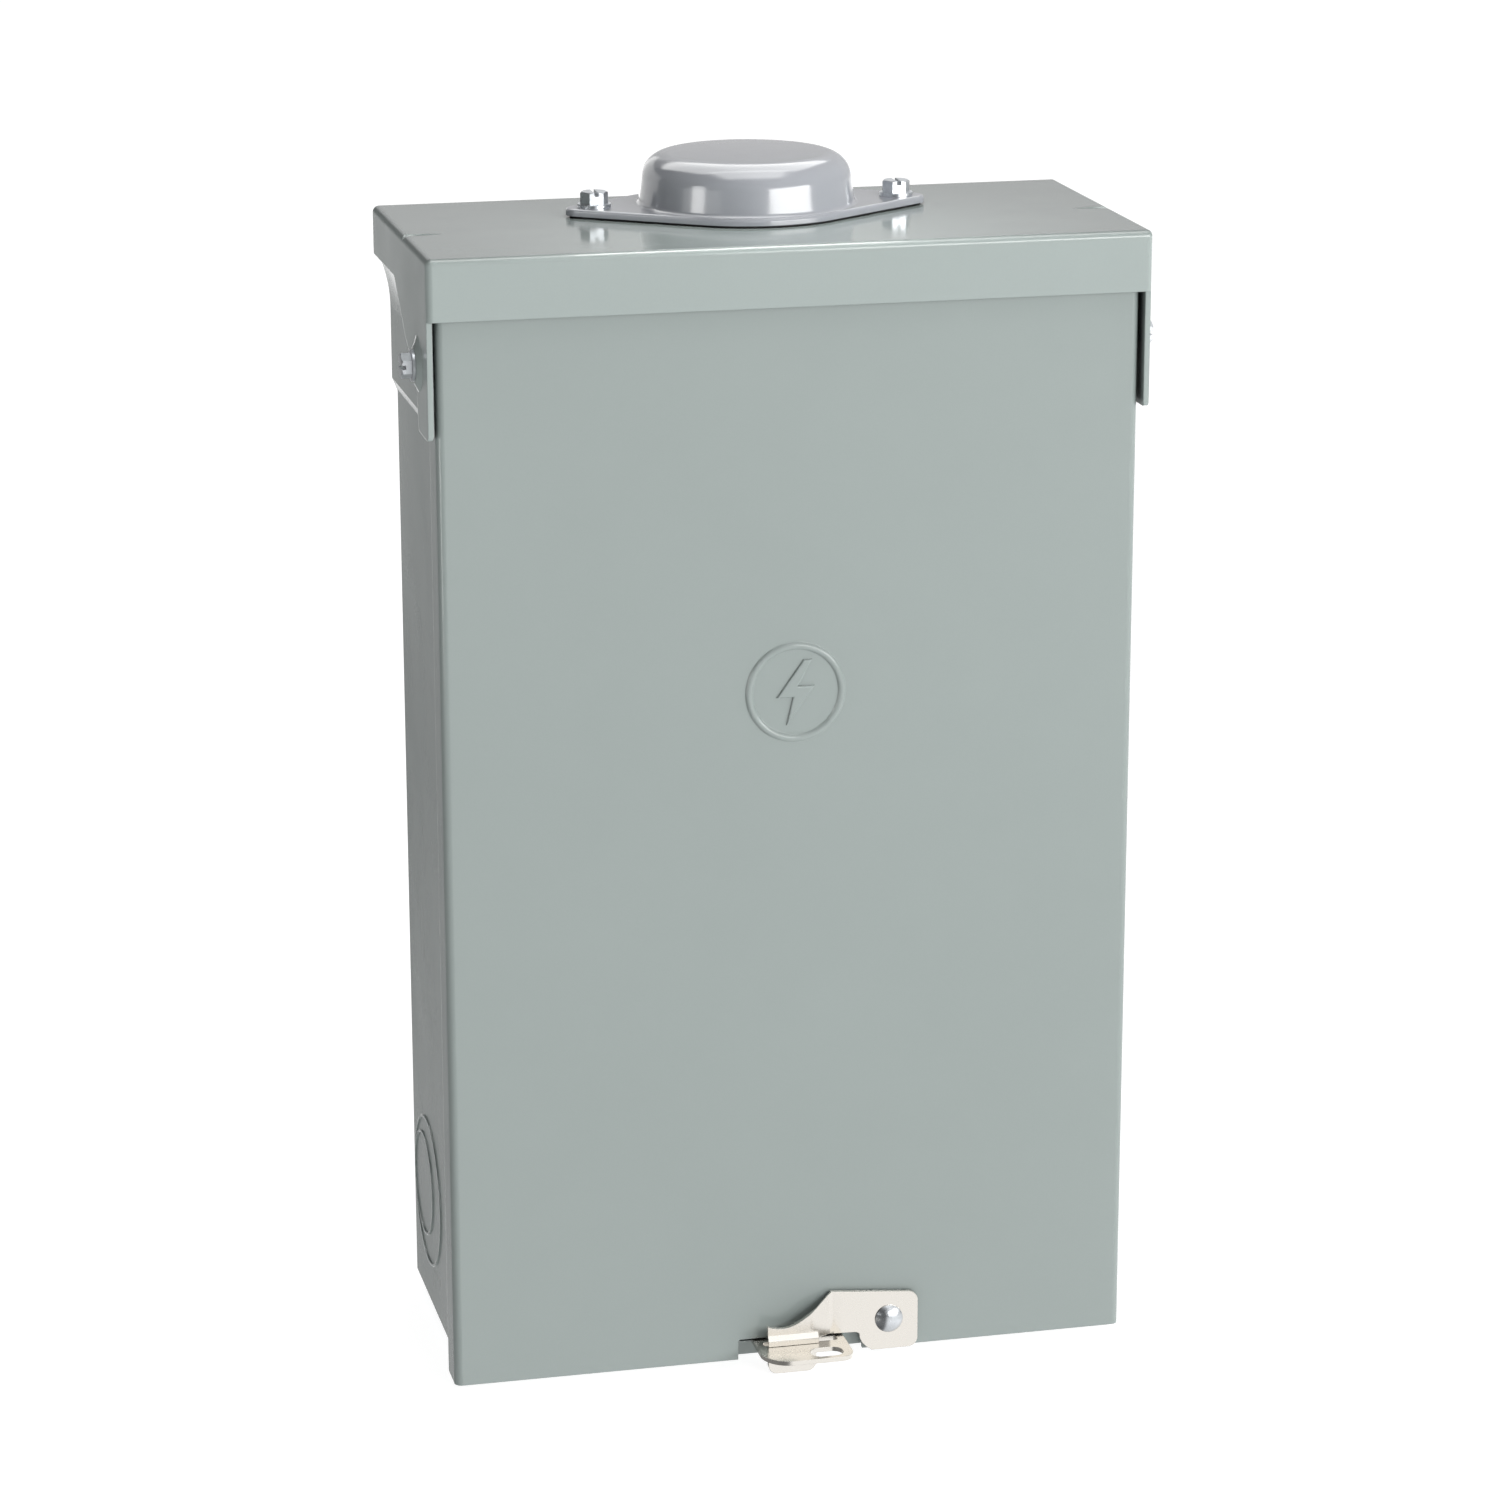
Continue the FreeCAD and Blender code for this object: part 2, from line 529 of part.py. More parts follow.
cr2 = crown(s1, Hd)
g = 1.6
shi, i0, i1 = arc3(sh_c, cr - g, lean, 86.86)
cri = crown(i1, Hd - g)
wall_in = Vector(i0.x + (i0.y - pz0.v) * math.tan(math.radians(lean)), pz0.v, 0)
outer_prof = [Part.LineSegment(Vector(f0.x, pz0.v + 0.2, 0), f0), ft, Part.LineSegment(f1, s0), sh, cr2,
              Part.LineSegment(Vector(0, Hd, 0), Vector(0, pz0.v + 0.2, 0)), Part.LineSegment(Vector(0, pz0.v + 0.2, 0), Vector(f0.x, pz0.v + 0.2, 0))]
inner_prof = [Part.LineSegment(wall_in, i0), shi, cri, Part.LineSegment(Vector(0, Hd - g, 0), Vector(0, pz0.v - 1.0, 0)),
              Part.LineSegment(Vector(0, pz0.v - 1.0, 0), Vector(wall_in.x, pz0.v - 1.0, 0)), Part.LineSegment(Vector(wall_in.x, pz0.v - 1.0, 0), wall_in)]
hb.pocket("XY", [("circle", 0.0, hy, wall_in.x), ("circle", hp, hy, 2.6), ("circle", -hp, hy, 2.6)], pz0 - 1, pz1 + 1)
plate_flat = hb.body
doc.recompute()
rim = plate_flat.newObject("PartDesign::Fillet", "hub_plate_rim")
rim.Base = (rim.BaseFeature, ["Edge%d" % (n + 1) for n, e in enumerate(plate_flat.Shape.Edges)
                              if abs(e.BoundBox.ZMin - pz1.v) < 1e-4 and abs(e.BoundBox.ZMax - pz1.v) < 1e-4 and max(abs(v.X) for v in e.Vertexes) > 9.0 and len(e.Vertexes) > 1])
put(rim, "Radius", d("hub_plate_gauge") * 0.4)
doc.recompute()
dm = PD("hub_plate_dome")
dm.revolve("XZ", outer_prof, 0.0)
dm.revolve("XZ", inner_prof, 0.0, groove=True)
dm.place(0, hy, 0)
hub_closing_plate = fuse([plate_flat, dm.body], "hub_closing_plate")
hub_screws = group([hex_screw("hub_screw_%d" % k, hp * s, hy, pz1, "+Z", 7.9, 3.9, 5.4, 1.1, 2.3, 9.0) for k, s in enumerate((1, -1))], "hub_screws")

# ================================================================== 7  cover
vw = d("cover_width") / 2
vf = -d("cover_front")
vb = -d("cover_bottom")
vt = d("cover_top")
fl = vf + d("cover_flange")
cv = PD("cover_sheet")
cv.pad("XZ", [rect(-vw, vw, vb, vt)], vf, fl)
cv.fillet("Z", [(vw, vf), (-vw, vf)], 2.6)
cv.pocket("XZ", [rect(-vw + gauge, vw - gauge, vb - 1, vt + 1)], vf + gauge, fl + 1)
cv.fillet("Z", [(vw - gauge, vf + gauge), (-vw + gauge, vf + gauge)], 1.2)
cv.pad("XZ", [rect(-d("cover_tongue_half"), d("cover_tongue_half"), vt - 1.0, d("cover_tongue_top"))], vf, vf + gauge)
# hinge ears behind the wings
for s in (1, -1):
    x0, x1 = (vw - gauge, vw) if s > 0 else (-vw, -vw + gauge)
    cv.pad("YZ", [[(fl - 1, pz - 10), (py + 3, pz - 8.5), (py + 6.8, pz - 4), (py + 6.8, pz + 4), (py + 3, pz + 8.5), (fl - 1, pz + 10)]], x0, x1)
cv.pocket("YZ", [("circle", py, pz, d("pivot_shank_rad") + d("pivot_running_gap"))], -vw - 1, vw + 1)
# notch for the hasp, rivet hole
nl, nr, nh = d("notch_left"), d("notch_right"), d("notch_height")
cv.pocket("XZ", [rect(-nl, nr, vb - 1, vb + nh)], vf - 1, vf + gauge + 1)
cv.fillet("Y", [(-nl, vb + nh), (nr, vb + nh)], 1.0)
rx, rz = d("rivet_across"), -d("rivet_down")
cv.pocket("XZ", [("circle", rx, rz, d("rivet_rad"))], vf - 1, vf + gauge + 1)
cover_sheet = cv.body
# embossed emblem: ring and lightning flash
ex, ez = 0.8, 41.7
ring = doc.addObject("Part::Torus", "emblem_ring")
ring.Radius1 = 15.2; ring.Radius2 = 1.35
ring.Placement = Placement(Vector(0, 0, 0), Rotation(Vector(0, 0, 1), Vector(0, -1, 0)))
put(ring, "Placement.Base.x", q(ex)); put(ring, "Placement.Base.y", vf + 0.55); put(ring, "Placement.Base.z", q(ez))
flash = PD("emblem_flash")
fp = [(2.6, 10.6), (-6.2, -1.6), (-0.9, -1.6), (-3.0, -10.8), (6.2, 2.0), (0.7, 2.0), (5.4, 10.6)]
flash.pad("XZ", [[(x + ex, z + ez) for x, z in fp]], vf - 0.8, vf + 0.3)
doc.recompute()
fch = flash.body.newObject("PartDesign::Fillet", "emblem_flash_edge")
fch.Base = (fch.BaseFeature, ["Edge%d" % (n + 1) for n, e in enumerate(flash.body.Shape.Edges) if e.BoundBox.YMax < vf.v - 0.75])
fch.Radius = 0.5
cover = fuse([cover_sheet, ring, flash.body], "cover")

# ================================================================== 8-10  cover pivots
screws, spacers, nuts = [], [], []
srad = d("pivot_shank_rad")
for k, s in enumerate((1, -1)):
    ax = "+X" if s > 0 else "-X"
    bx = "-X" if s > 0 else "+X"
    face = (cw + dh) * s
    screws.append(hex_screw("pivot_screw_%d" % k, face, py, pz, ax, 7.0, 3.3, 5.0, 0.9, srad, cw + dh - 108.6))
    lo, hi = vw + 0.08, cw - gauge + dh
    a = cyl(ax, lo * s, py, pz, 3.4, hi - lo)
    spacers.append(cut(a, [cyl(ax, (lo - 1) * s, py, pz, srad, hi - lo + 2)]))
    n = PD("pivot_nut_%d" % k)
    n.pad("XY", [hexagon(7.0, "x"), ("circle", 0.0, 0.0, srad)], 0.0, 2.2)
    n.place((vw - gauge - 0.08) * s, py, pz, Rotation(Vector(0, 0, 1), AXES[bx]))
    nuts.append(n.body)
pivot_screws = group(screws, "cover_pivot_screws")
pivot_spacers = group(spacers, "cover_pivot_spacers")
pivot_nuts = group(nuts, "cover_pivot_nuts")

# ================================================================== 11-13  swing latch
lg = d("latch_gauge")
lf = -d("latch_front")
lb = lf + lg
z0 = -d("cover_bottom")
la = PD("latch_arm")
la.pad("XZ", [[(42.3, z0 + 0.0), (42.3, z0 + 19.4), (12.5, z0 + 22.0), (12.5, z0 + 7.2), (21.2, z0 + 6.9), (22.3, z0 + 6.3), (22.5, z0 + 4.6), (23.3, z0 + 2.9), (24.7, z0 + 1.4), (26.6, z0 + 0.0)]], lf, lb)
la.fillet("Y", [(42.3, z0 + 19.4)], 3.2)
la.fillet("Y", [(42.3, z0)], 3.2)
la.pocket("XZ", [("circle", rx, rz, d("rivet_rad") + 0.05)], lf - 1, lb + 1)
# outward ramp and end plate, drawn in plan and cut to a scooped top edge
lr = PD("latch_ramp")
tl, tr, tf = d("tongue_left"), d("tongue_right"), -d("tongue_front")
end_f = tf + 1.1
ht = -d("hasp_top")
lr.pad("XY", [[(14.6, lf), (14.6, lb), (13.2, lb), (6.4, end_f + lg), (-tl, end_f + lg), (-tl, end_f), (5.2, end_f), (12.4, lf)]], z0 + 7.3, z0 + 22.4)
lr.fillet("Z", [(13.2, lb), (5.2, end_f)], 4.4)
lr.fillet("Z", [(6.4, end_f + lg), (12.4, lf)], 3.2)
lr.pocket("XZ", [[(-11.0, z0 + 13.6), (-tl, z0 + 13.2), (-8.2, z0 + 12.6), (-6.3, z0 + 12.25), (-4.3, z0 + 12.2), (-2.6, z0 + 12.5), (-0.4, z0 + 13.3), (2.0, z0 + 14.7), (12.5, z0 + 21.8), (15.0, z0 + 21.5), (15.0, z0 + 24.0), (-11.0, z0 + 24.0)]], end_f - 1, lb + 1)
lr.pocket("XZ", [rect(-tl - 1, tr, z0 + 6.0, z0 + 10.3)], end_f - 1, lb + 1)
# tongue: joggled forward below the end plate, down onto the hasp
lt = PD("latch_tab")
t0 = ht + 0.12
lt.pad("YZ", [[(end_f + lg, z0 + 10.5), (end_f + lg, z0 + 9.6), (tf + lg, z0 + 8.0), (tf + lg, t0), (tf, t0), (tf, z0 + 8.5), (end_f, z0 + 10.1), (end_f, z0 + 10.5)]], -tl, tr)
lt.fillet("X", [(end_f + lg, z0 + 9.6), (tf, z0 + 8.5)], 1.0)
latch = fuse([la.body, lr.body, lt.body], "latch")
for b_, n_ in ((la, "latch_arm"), (lr, "latch_ramp"), (lt, "latch_tab")):
    b_.body.Label = n_
wg = d("latch_washer_gauge")
latch_washer = cut(cyl("-Y", rx, vf - 0.01, rz, 6.0, wg), [cyl("-Y", rx, vf + 1, rz, d("rivet_rad") + 0.05, 4.0)], "latch_washer")
rv = PD("latch_rivet")
rr, rh = d("rivet_rad"), d("rivet_head_rad")
head_arc = crown(Vector(rh.v, 0.35, 0), 2.3)
grip = (vf.v + gauge.v) - (lf.v - 0.05)
rgeo = [Part.LineSegment(Vector(rh.v, 0, 0), Vector(rh.v, 0.35, 0)), head_arc, Part.LineSegment(Vector(0, 2.3, 0), Vector(0, -grip - 1.3, 0)), Part.LineSegment(Vector(0, -grip - 1.3, 0), Vector(3.2, -grip - 1.3, 0)),
        Part.LineSegment(Vector(3.2, -grip - 1.3, 0), Vector(3.7, -grip - 0.02, 0)), Part.LineSegment(Vector(3.7, -grip - 0.02, 0), Vector(rr.v, -grip - 0.02, 0)),
        Part.LineSegment(Vector(rr.v, -grip - 0.02, 0), Vector(rr.v, 0, 0)), Part.LineSegment(Vector(rr.v, 0, 0), Vector(rh.v, 0, 0))]
rv.revolve("XZ", rgeo, 0.0)
rv.place(rx, lf - 0.05, rz, Rotation(Vector(0, 0, 1), AXES["-Y"]))
latch_rivet = rv.body

# ================================================================== 14  fixed hasp
hg = d("hasp_gauge")
hs = PD("fixed_hasp")
reach = -d("hasp_reach")
hl, hr_ = -d("hasp_left"), d("hasp_right")
hs.pad("XY", [rect(hl, hr_, reach, fy + gauge + hg)], ht - hg, ht)
hs.pad("YZ", [rect(fy + gauge + 0.02, fy + gauge + hg, bz + gauge + 0.02, ht)], hl, hr_)
hs.fillet("Z", [(hl, reach)], 9.5)
hs.fillet("Z", [(hr_, reach)], 4.8)
# flap lanced and turned down from the rear slot, straight below the latch's tongue
hs.pad("XZ", [rect(-tl, 6.3, z0 - 2.9, ht - 0.2)], tf, tf + hg)
hs.fillet("Y", [(-tl, z0 - 2.9), (q(6.3), z0 - 2.9)], 3.0)
hs.pocket("XY", [rect(hl + 2.5, hr_ - 2.6, tf + hg + 0.05, -104.3)], ht - hg - 1, ht + 1)
hs.fillet("Z", [(hl + 2.5, -104.3), (hr_ - 2.6, -104.3), (hr_ - 2.6, tf + hg + 0.05), (hl + 2.5, tf + hg + 0.05)], 0.9)
sl, sn = d("slot_left"), d("slot_length")
sy = -d("slot_middle")
sr = d("slot_width") / 2
hs.pocket("XY", [rect(sl, sl + sn, sy - sr, sy + sr)], ht - hg - 1, ht + 1)
hs.fillet("Z", [(sl, sy - sr), (sl, sy + sr), (sl + sn, sy - sr), (sl + sn, sy + sr)], 3.4)
fixed_hasp = hs.body

# ================================================================== 15-16  interior pan
pf = -d("pan_front")
pg = d("pan_gauge")
ph = d("pan_half")
wall = -gauge - 0.02
pan = PD("interior_pan")
pan.pad("YZ", [rect(pf, pf + pg, -70.0, 112.0)], -ph, ph)
pan.pad("YZ", [rect(pf, wall, 112.0 - pg, 112.0)], -ph + 8, ph - 8)
pan.pad("YZ", [rect(pf, wall, -70.0, -70.0 + pg)], -ph + 8, ph - 8)
pan.pad("YZ", [rect(wall - pg, wall, 111.0, 123.0)], -ph + 8, ph - 8)
pan.pad("YZ", [rect(wall - pg, wall, -81.0, -69.0)], -ph + 8, ph - 8)
row_lo = d("top_row") - 3.5 * d("space_pitch")
row_hi = d("top_row") + 0.5 * d("space_pitch")
for s in (1, -1):
    x0, x1 = (84.0, 85.2) if s > 0 else (-85.2, -84.0)
    pan.pad("YZ", [rect(pf - 22.0, pf + pg, row_lo, row_hi)], x0, x1)
pan.pocket("XZ", [("circle", sx * 60.0, z, 2.05) for sx in (1, -1) for z in (117.0, -75.0)], wall - pg - 1, wall + 1)
interior_pan = pan.body
interior_screws = group([pan_screw("interior_screw_%d" % k, x, wall - pg, z, "-Y", 4.2, 2.4, 2.0, 2.6) for k, (x, z) in enumerate(((60, 117), (-60, 117), (60, -75), (-60, -75)))], "interior_screws")

# ================================================================== 17-22  bus support, bars, main lugs
bb = -d("bus_back")
bus_block = fuse([box(-22, 22, bb, pf, -54, 104), box(-30, 30, bb + 6, pf, 82, 104)])
bus_support = cut(bus_block, [box(-16, 16, bb + 5, pf + 1, -48, -8), box(-16, 16, bb + 5, pf + 1, 0, 40), box(-16, 16, bb + 5, pf + 1, 48, 78)], "bus_support_base")
bgf = bb - d("bus_gauge")
bwid = d("bus_bar_width")
sg = d("stab_gauge")
rows = [d("top_row") - d("space_pitch") * k for k in range(4)]


def bus_bar(sx, my_rows, label):
    x0, x1 = (2.0, 2.0 + bwid) if sx > 0 else (-2.0 - bwid, q(-2.0))
    pieces = [box(x0, x1, bgf, bb, -46, 100)]
    if sx > 0:
        pieces.append(box(x0, 28.0, bgf, bb, 84, 104))
    else:
        pieces.append(box(-28.0, x1, bgf, bb, 84, 104))
    for z in my_rows:
        pieces.append(box(x0, x1, bgf - 1.5, bgf, z - sg / 2, z + sg / 2))
        pieces.append(box(-12.5, 12.5, bgf - 11.5, bgf - 1.5, z - sg / 2, z + sg / 2))
    return fuse(pieces, label)


bus_bar_a = bus_bar(-1, rows[0::2], "bus_bar_a")
bus_bar_b = bus_bar(1, rows[1::2], "bus_bar_b")


def main_lug(sx, label):
    x0, x1 = (11.5, 28.0) if sx > 0 else (-28.0, -11.5)
    c = (x0 + x1) / 2.0
    blk = box(x0, x1, bgf - 19.0, bgf - 0.02, 85, 103)
    return cut(blk, [cyl("+Z", c, bgf - 8.0, 80, 5.6, 30), cyl("-Y", c, bgf - 8.0, 94, 4.4, 14)], label)


main_lug_a, main_lug_b = main_lug(-1, "main_lug_a"), main_lug(1, "main_lug_b")


def set_screw(c, y_out, z, rad, length, socket, name):
    b = PD(name)
    b.pad("XY", [("circle", 0.0, 0.0, rad)], -q(length), 0.0)
    b.pocket("XY", [hexagon(socket)], -3.2, 0.2)
    b.place(c, y_out, z, Rotation(Vector(0, 0, 1), AXES["-Y"]))
    return b.body


main_lug_setscrews = group([set_screw(s * 19.75, bgf - 18.4, 94.0, 4.35, 8.0, 4.8, "lug_setscrew_%d" % s) for s in (1, -1)], "main_lug_setscrews")

# ================================================================== 23-30  neutral and ground bars
tb, tm = d("terminal_bar_side"), d("terminal_bar_mid")
holes_z = [-84.0 + 12.5 * k for k in range(12)]


def terminal_bar(sx, label):
    x0 = tm * sx - tb / 2
    blk = box(x0, x0 + tb, -34, -24, -96, 62)
    tools = []
    for z in holes_z[1:]:
        tools.append(cyl("-Y", tm * sx, -28.5, z, 2.5, 8))
        tools.append(cyl("+X", x0 - 1, -28.5, z, 2.7, 13))
    return cut(blk, tools, label)


neutral_bar_left = terminal_bar(-1, "neutral_bar_left")
neutral_bar_right = terminal_bar(1, "neutral_bar_right")
neutral_insulators = group([box(sx * 97.0 - 7.0, sx * 97.0 + 7.0, -23.98, wall, z, z + 12) for sx in (1, -1) for z in (-94.0, 48.0)], "neutral_insulators")
neutral_strap = cut(box(-102, 102, -36.2, -34.02, -96, -86), [cyl("-Y", 30.0, -30, -89, 2.45, 12)], "neutral_strap")
neutral_lug = cut(box(-9, 9, -56.0, -36.22, -100, -82), [cyl("+Z", 0, -45.5, -105, 5.6, 30), cyl("-Y", 0, -45.5, -91, 4.4, 14)], "neutral_lug")
neutral_lug_setscrew = set_screw(0.0, -55.4, -91.0, 4.35, 8.0, 4.8, "neutral_lug_setscrew")


def slot_screw(x, y, z, name):
    b = PD(name)
    b.pad("XY", [("circle", 0.0, 0.0, 2.45)], -5.4, 0.0)
    b.pad("XY", [("circle", 0.0, 0.0, 3.4)], 0.0, 2.0)
    b.pocket("XY", [rect(-0.5, 0.5, -4, 4)], 1.0, 2.2)
    b.place(x, y, z, Rotation(Vector(0, 0, 1), AXES["-Y"]))
    return b.body


neutral_screws = group([slot_screw(tm * sx, -34.0, z, "neutral_screw_%d_%d" % (sx, k)) for sx in (1, -1) for k, z in enumerate(holes_z[1:])], "neutral_bar_screws")
gb = box(-52, 52, -18, -8, -125, -115)
gx = [-30.0 + 12.0 * k for k in range(6)]
gb_tools = [cyl("-Y", x, -12.5, -120, 2.5, 8) for x in gx] + [cyl("+Z", x, -12.5, -127, 2.7, 14) for x in gx] + [cyl("-Y", x, 0, -120, 2.05, 20) for x in (40.0, -40.0)]
ground_bar = cut(fuse([gb, box(34, 46, -8.5, wall, -125, -115), box(-46, -34, -8.5, wall, -125, -115)]), gb_tools, "ground_bar")
ground_bar_screws = group([slot_screw(x, -18.0, -120.0, "ground_screw_%d" % k) for k, x in enumerate(gx)], "ground_bar_screws")
ground_mount_screws = group([pan_screw("ground_mount_screw_%d" % k, x, -18.0, -120.0, "-Y", 4.2, 2.4, 2.0, 17.8) for k, x in enumerate((40.0, -40.0))], "ground_bar_mounting_screws")
bonding_screw = hex_screw("bonding_screw", 30.0, -36.22, -89.0, "-Y", 6.8, 3.0, 4.6, 0.8, 2.4, 36.0)

# ================================================================== 31-33  dead front, its rails and screws
df = -d("deadfront_front")
dg = d("deadfront_gauge")
dx = d("deadfront_half")
dt, db = d("deadfront_top"), -d("deadfront_bottom")
nm, nhf = d("neck_mid"), d("neck_half")
w_lo = rows[2] - d("space_pitch") / 2 - 0.2
w_hi = rows[0] + d("space_pitch") / 2 + 0.2
dd = PD("deadfront")
dd.pad("XZ", [rect(-dx, dx, db, dt)], df, df + dg)
dd.pad("XZ", [rect(-dx, dx, dt - dg, dt)], df, df + 11)
dd.pad("XZ", [rect(-dx, dx, db, db + dg)], df, df + 9)
dd.fillet("X", [(df, dt), (df, db)], 1.1)
dd.pocket("XZ", [rect(nm - nhf - 0.6, nm + nhf + 0.6, w_lo, w_hi), rect(-nm - nhf - 0.6, -nm + nhf + 0.6, w_lo, w_hi)], df - 1, df + dg + 1)
b_lo, b_hi = rows[3] - 11.0, rows[3] + 11.4
for sx in (1, -1):
    dd.pocket("XZ", [rect(nm * sx - nhf, nm * sx + nhf, b_lo, b_hi), rect(nm * sx - nhf + 0.7, nm * sx + nhf - 0.7, b_lo + 0.7, b_hi - 0.7)], df - 0.2, df + 0.6)
    dd.pad("XZ", [rect(nm * sx - 5.0, nm * sx + 5.0, (b_lo + b_hi) / 2 - 1.0, (b_lo + b_hi) / 2 + 1.0)], df - 0.6, df + 0.2)
dsx = [(98.0, 84.0), (-98.0, 84.0), (98.0, -142.0), (-98.0, -142.0)]
dd.pocket("XZ", [("circle", x, z, 2.3) for x, z in dsx], df - 1, df + dg + 1)
deadfront = dd.body
rails = []
for s in (1, -1):
    x_w = (hw - gauge - 0.05) * s
    lo, hi = (x_w - 1.5, x_w) if s > 0 else (x_w, x_w + 1.5)
    leg = box(lo, hi, df + dg + 0.05, -62, -150, 92)
    a, b_ = (q(91.0), x_w) if s > 0 else (x_w, q(-91.0))
    face = box(a, b_, df + dg + 0.05, df + dg + 1.55, -150, 92)
    rails.append(cut(fuse([leg, face]), [cyl("-Y", 98.0 * s, -78, z, 2.0, 8) for z in (84.0, -142.0)]))
deadfront_rails = group(rails, "deadfront_rails")
deadfront_screws = group([pan_screw("deadfront_screw_%d" % k, x, df, z, "-Y", 4.6, 2.6, 2.0, 7.0) for k, (x, z) in enumerate(dsx)], "deadfront_screws")

# ================================================================== 34-..  branch breakers
bi, bo = d("breaker_inner"), d("breaker_outer")
bback, bsh, bface = -d("breaker_back"), -d("breaker_shoulder"), -d("breaker_face")
ha = -d("handle_axis")
dr = d("handle_drum_rad")
lean_deg = d("handle_lean").v


def breaker(sx, row_list, label):
    """Moulded case of a one- or two-pole breaker, one space per row."""
    zc = [rows[k] for k in row_list]
    half = d("breaker_thick") / 2
    zlo, zhi = zc[-1] - half, zc[0] + half
    b = PD(label if sx > 0 else label + "_right_hand")
    b.pad("XZ", [rect(bi, bo, zlo, zhi)], bsh, bback)
    b.pad("XZ", [rect(nm - nhf, nm + nhf, zlo, zhi)], bface, bsh + 1)
    b.fillet("Z", [(bi, bsh), (bo, bsh)], 3.0)
    b.fillet("X", [(bface, zlo), (bface, zhi)], 1.0)
    for z in zc:
        b.pocket("XZ", [rect(bi - 1, 14.5, z - 4.0, z + 4.0)], bback - 14.5, bback + 1)
        b.pocket("XY", [("circle", nm, ha, dr + 0.3)], z - 3.9, z + 3.9)
        b.pocket("XZ", [rect(nm - 9.8, nm + 9.8, z - 3.9, z + 3.9)], bface - 1, ha)
        b.pocket("XZ", [rect(72.0, bo + 1, z - 6.5, z + 6.5)], bsh - 1, bsh + 15.0)
    b.pocket("XZ", [rect(80.0, bo + 1, zlo - 1, zhi + 1)], bback - 4.0, bback + 1)
    if sx < 0:
        m = mirror(b.body)
        m.Label = label
        return m
    return b.body


def handle(sx, row_list, label):
    """Toggle with its drum, leaning to the centre of the panel (on)."""
    zc = [rows[k] for k in row_list]
    b = PD(label)
    for z in zc:
        b.pad("XY", [("circle", 0.0, 0.0, dr)], z - 3.6, z + 3.6)
        b.pad("XY", [[(-2.9, -9.0), (2.9, -9.0), (2.2, -d("handle_reach")), (-2.2, -d("handle_reach"))]], z - 3.6, z + 3.6)
    if len(zc) > 1:
        hr = d("handle_reach").v
        side = 2.2 + 0.7 * (hr - 16.0) / (hr - 9.0)
        b.pad("XY", [[(-side, -16.0), (side, -16.0), (2.2, -d("handle_reach")), (-2.2, -d("handle_reach"))]], zc[-1] - 3.6, zc[0] + 3.6)
    b.fillet("Z", [(2.2, -d("handle_reach")), (-2.2, -d("handle_reach"))], 1.2)
    b.place(nm * sx, ha, 0.0, Rotation(Vector(0, 0, 1), -lean_deg * sx))
    return b.body


layout = [("two_pole", 1, [0, 1]), ("right_lower", 1, [2]), ("left_upper", -1, [0]), ("left_middle", -1, [1]), ("left_lower", -1, [2])]
cases, handles, jaws, lugs, lug_screws = [], [], [], [], []
for name, sx, rl in layout:
    cases.append(breaker(sx, rl, "breaker_case_" + name))
    handles.append(handle(sx, rl, "breaker_handle_" + name))
    for k in rl:
        z = rows[k]
        for s in (1, -1):
            lo, hi = (z + sg / 2 + 0.02, z + sg / 2 + 1.0) if s > 0 else (z - sg / 2 - 1.0, z - sg / 2 - 0.02)
            a, c = (5.0, 13.5) if sx > 0 else (-13.5, -5.0)
            jaws.append(box(a, c, bback - 13.5, bback - 3.5, lo, hi))
        a, c = (72.4, 80.6) if sx > 0 else (-80.6, -72.4)
        plate = box(a, c, bsh + 9.0, bsh + 14.9, z - 6.0, z + 6.0)
        lugs.append(cut(plate, [cyl("-Y", sx * 76.5, bsh + 16, z, 2.5, 12)]))
        lug_screws.append(slot_screw(sx * 76.5, bsh + 9.0, z, "load_screw_%s_%d" % (name, k)))
breaker_line_jaws = group(jaws, "breaker_line_jaws")
breaker_load_terminals = group(lugs, "breaker_load_terminals")
breaker_load_screws = group(lug_screws, "breaker_load_screws")

# ================================================================== directory card inside the cover
directory_card = box(-62, 62, vf + gauge + 0.02, vf + gauge + 0.42, -118, -38, "directory_card")

# ------------------------------------------------------------------ write the sub-parts
NODES = [case_wrapper, bottom_endwall, top_cap, hub_gasket, hub_closing_plate, hub_screws, cover, pivot_screws, pivot_spacers, pivot_nuts,
         latch, latch_washer, latch_rivet, fixed_hasp, interior_pan, interior_screws, bus_support, bus_bar_a, bus_bar_b, main_lug_a, main_lug_b,
         main_lug_setscrews, neutral_bar_left, neutral_bar_right, neutral_insulators, neutral_strap, neutral_lug, neutral_lug_setscrew, neutral_screws,
         ground_bar, ground_bar_screws, ground_mount_screws, bonding_screw, deadfront, deadfront_rails, deadfront_screws] + cases + handles + \
        [breaker_line_jaws, breaker_load_terminals, breaker_load_screws, directory_card]
doc.recompute()
bad = [(o.Label, [p.Label for p in o.InList]) for o in doc.Objects if any(s in ("Invalid", "Error") for s in o.State)]
if bad:
    raise SystemExit("failed objects: %s" % bad)
names = [o.Label for o in NODES]
if len(set(names)) != len(names) or len(names) > 60:
    raise SystemExit("sub-part names repeat or are too many: %s" % names)
for o in NODES:
    s = o.Shape
    if s.isNull() or not s.isValid() or not s.Solids:
        raise SystemExit("bad shape: %s" % o.Label)
for o in NODES:
    o.Shape.exportStep("parts/%s.step" % o.Label)
    print("%-34s solids %2d  volume %10.1f" % (o.Label, len(o.Shape.Solids), o.Shape.Volume))
print(len(NODES), "nodes")
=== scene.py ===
import json
import math

import bpy
from mathutils import Matrix, Vector

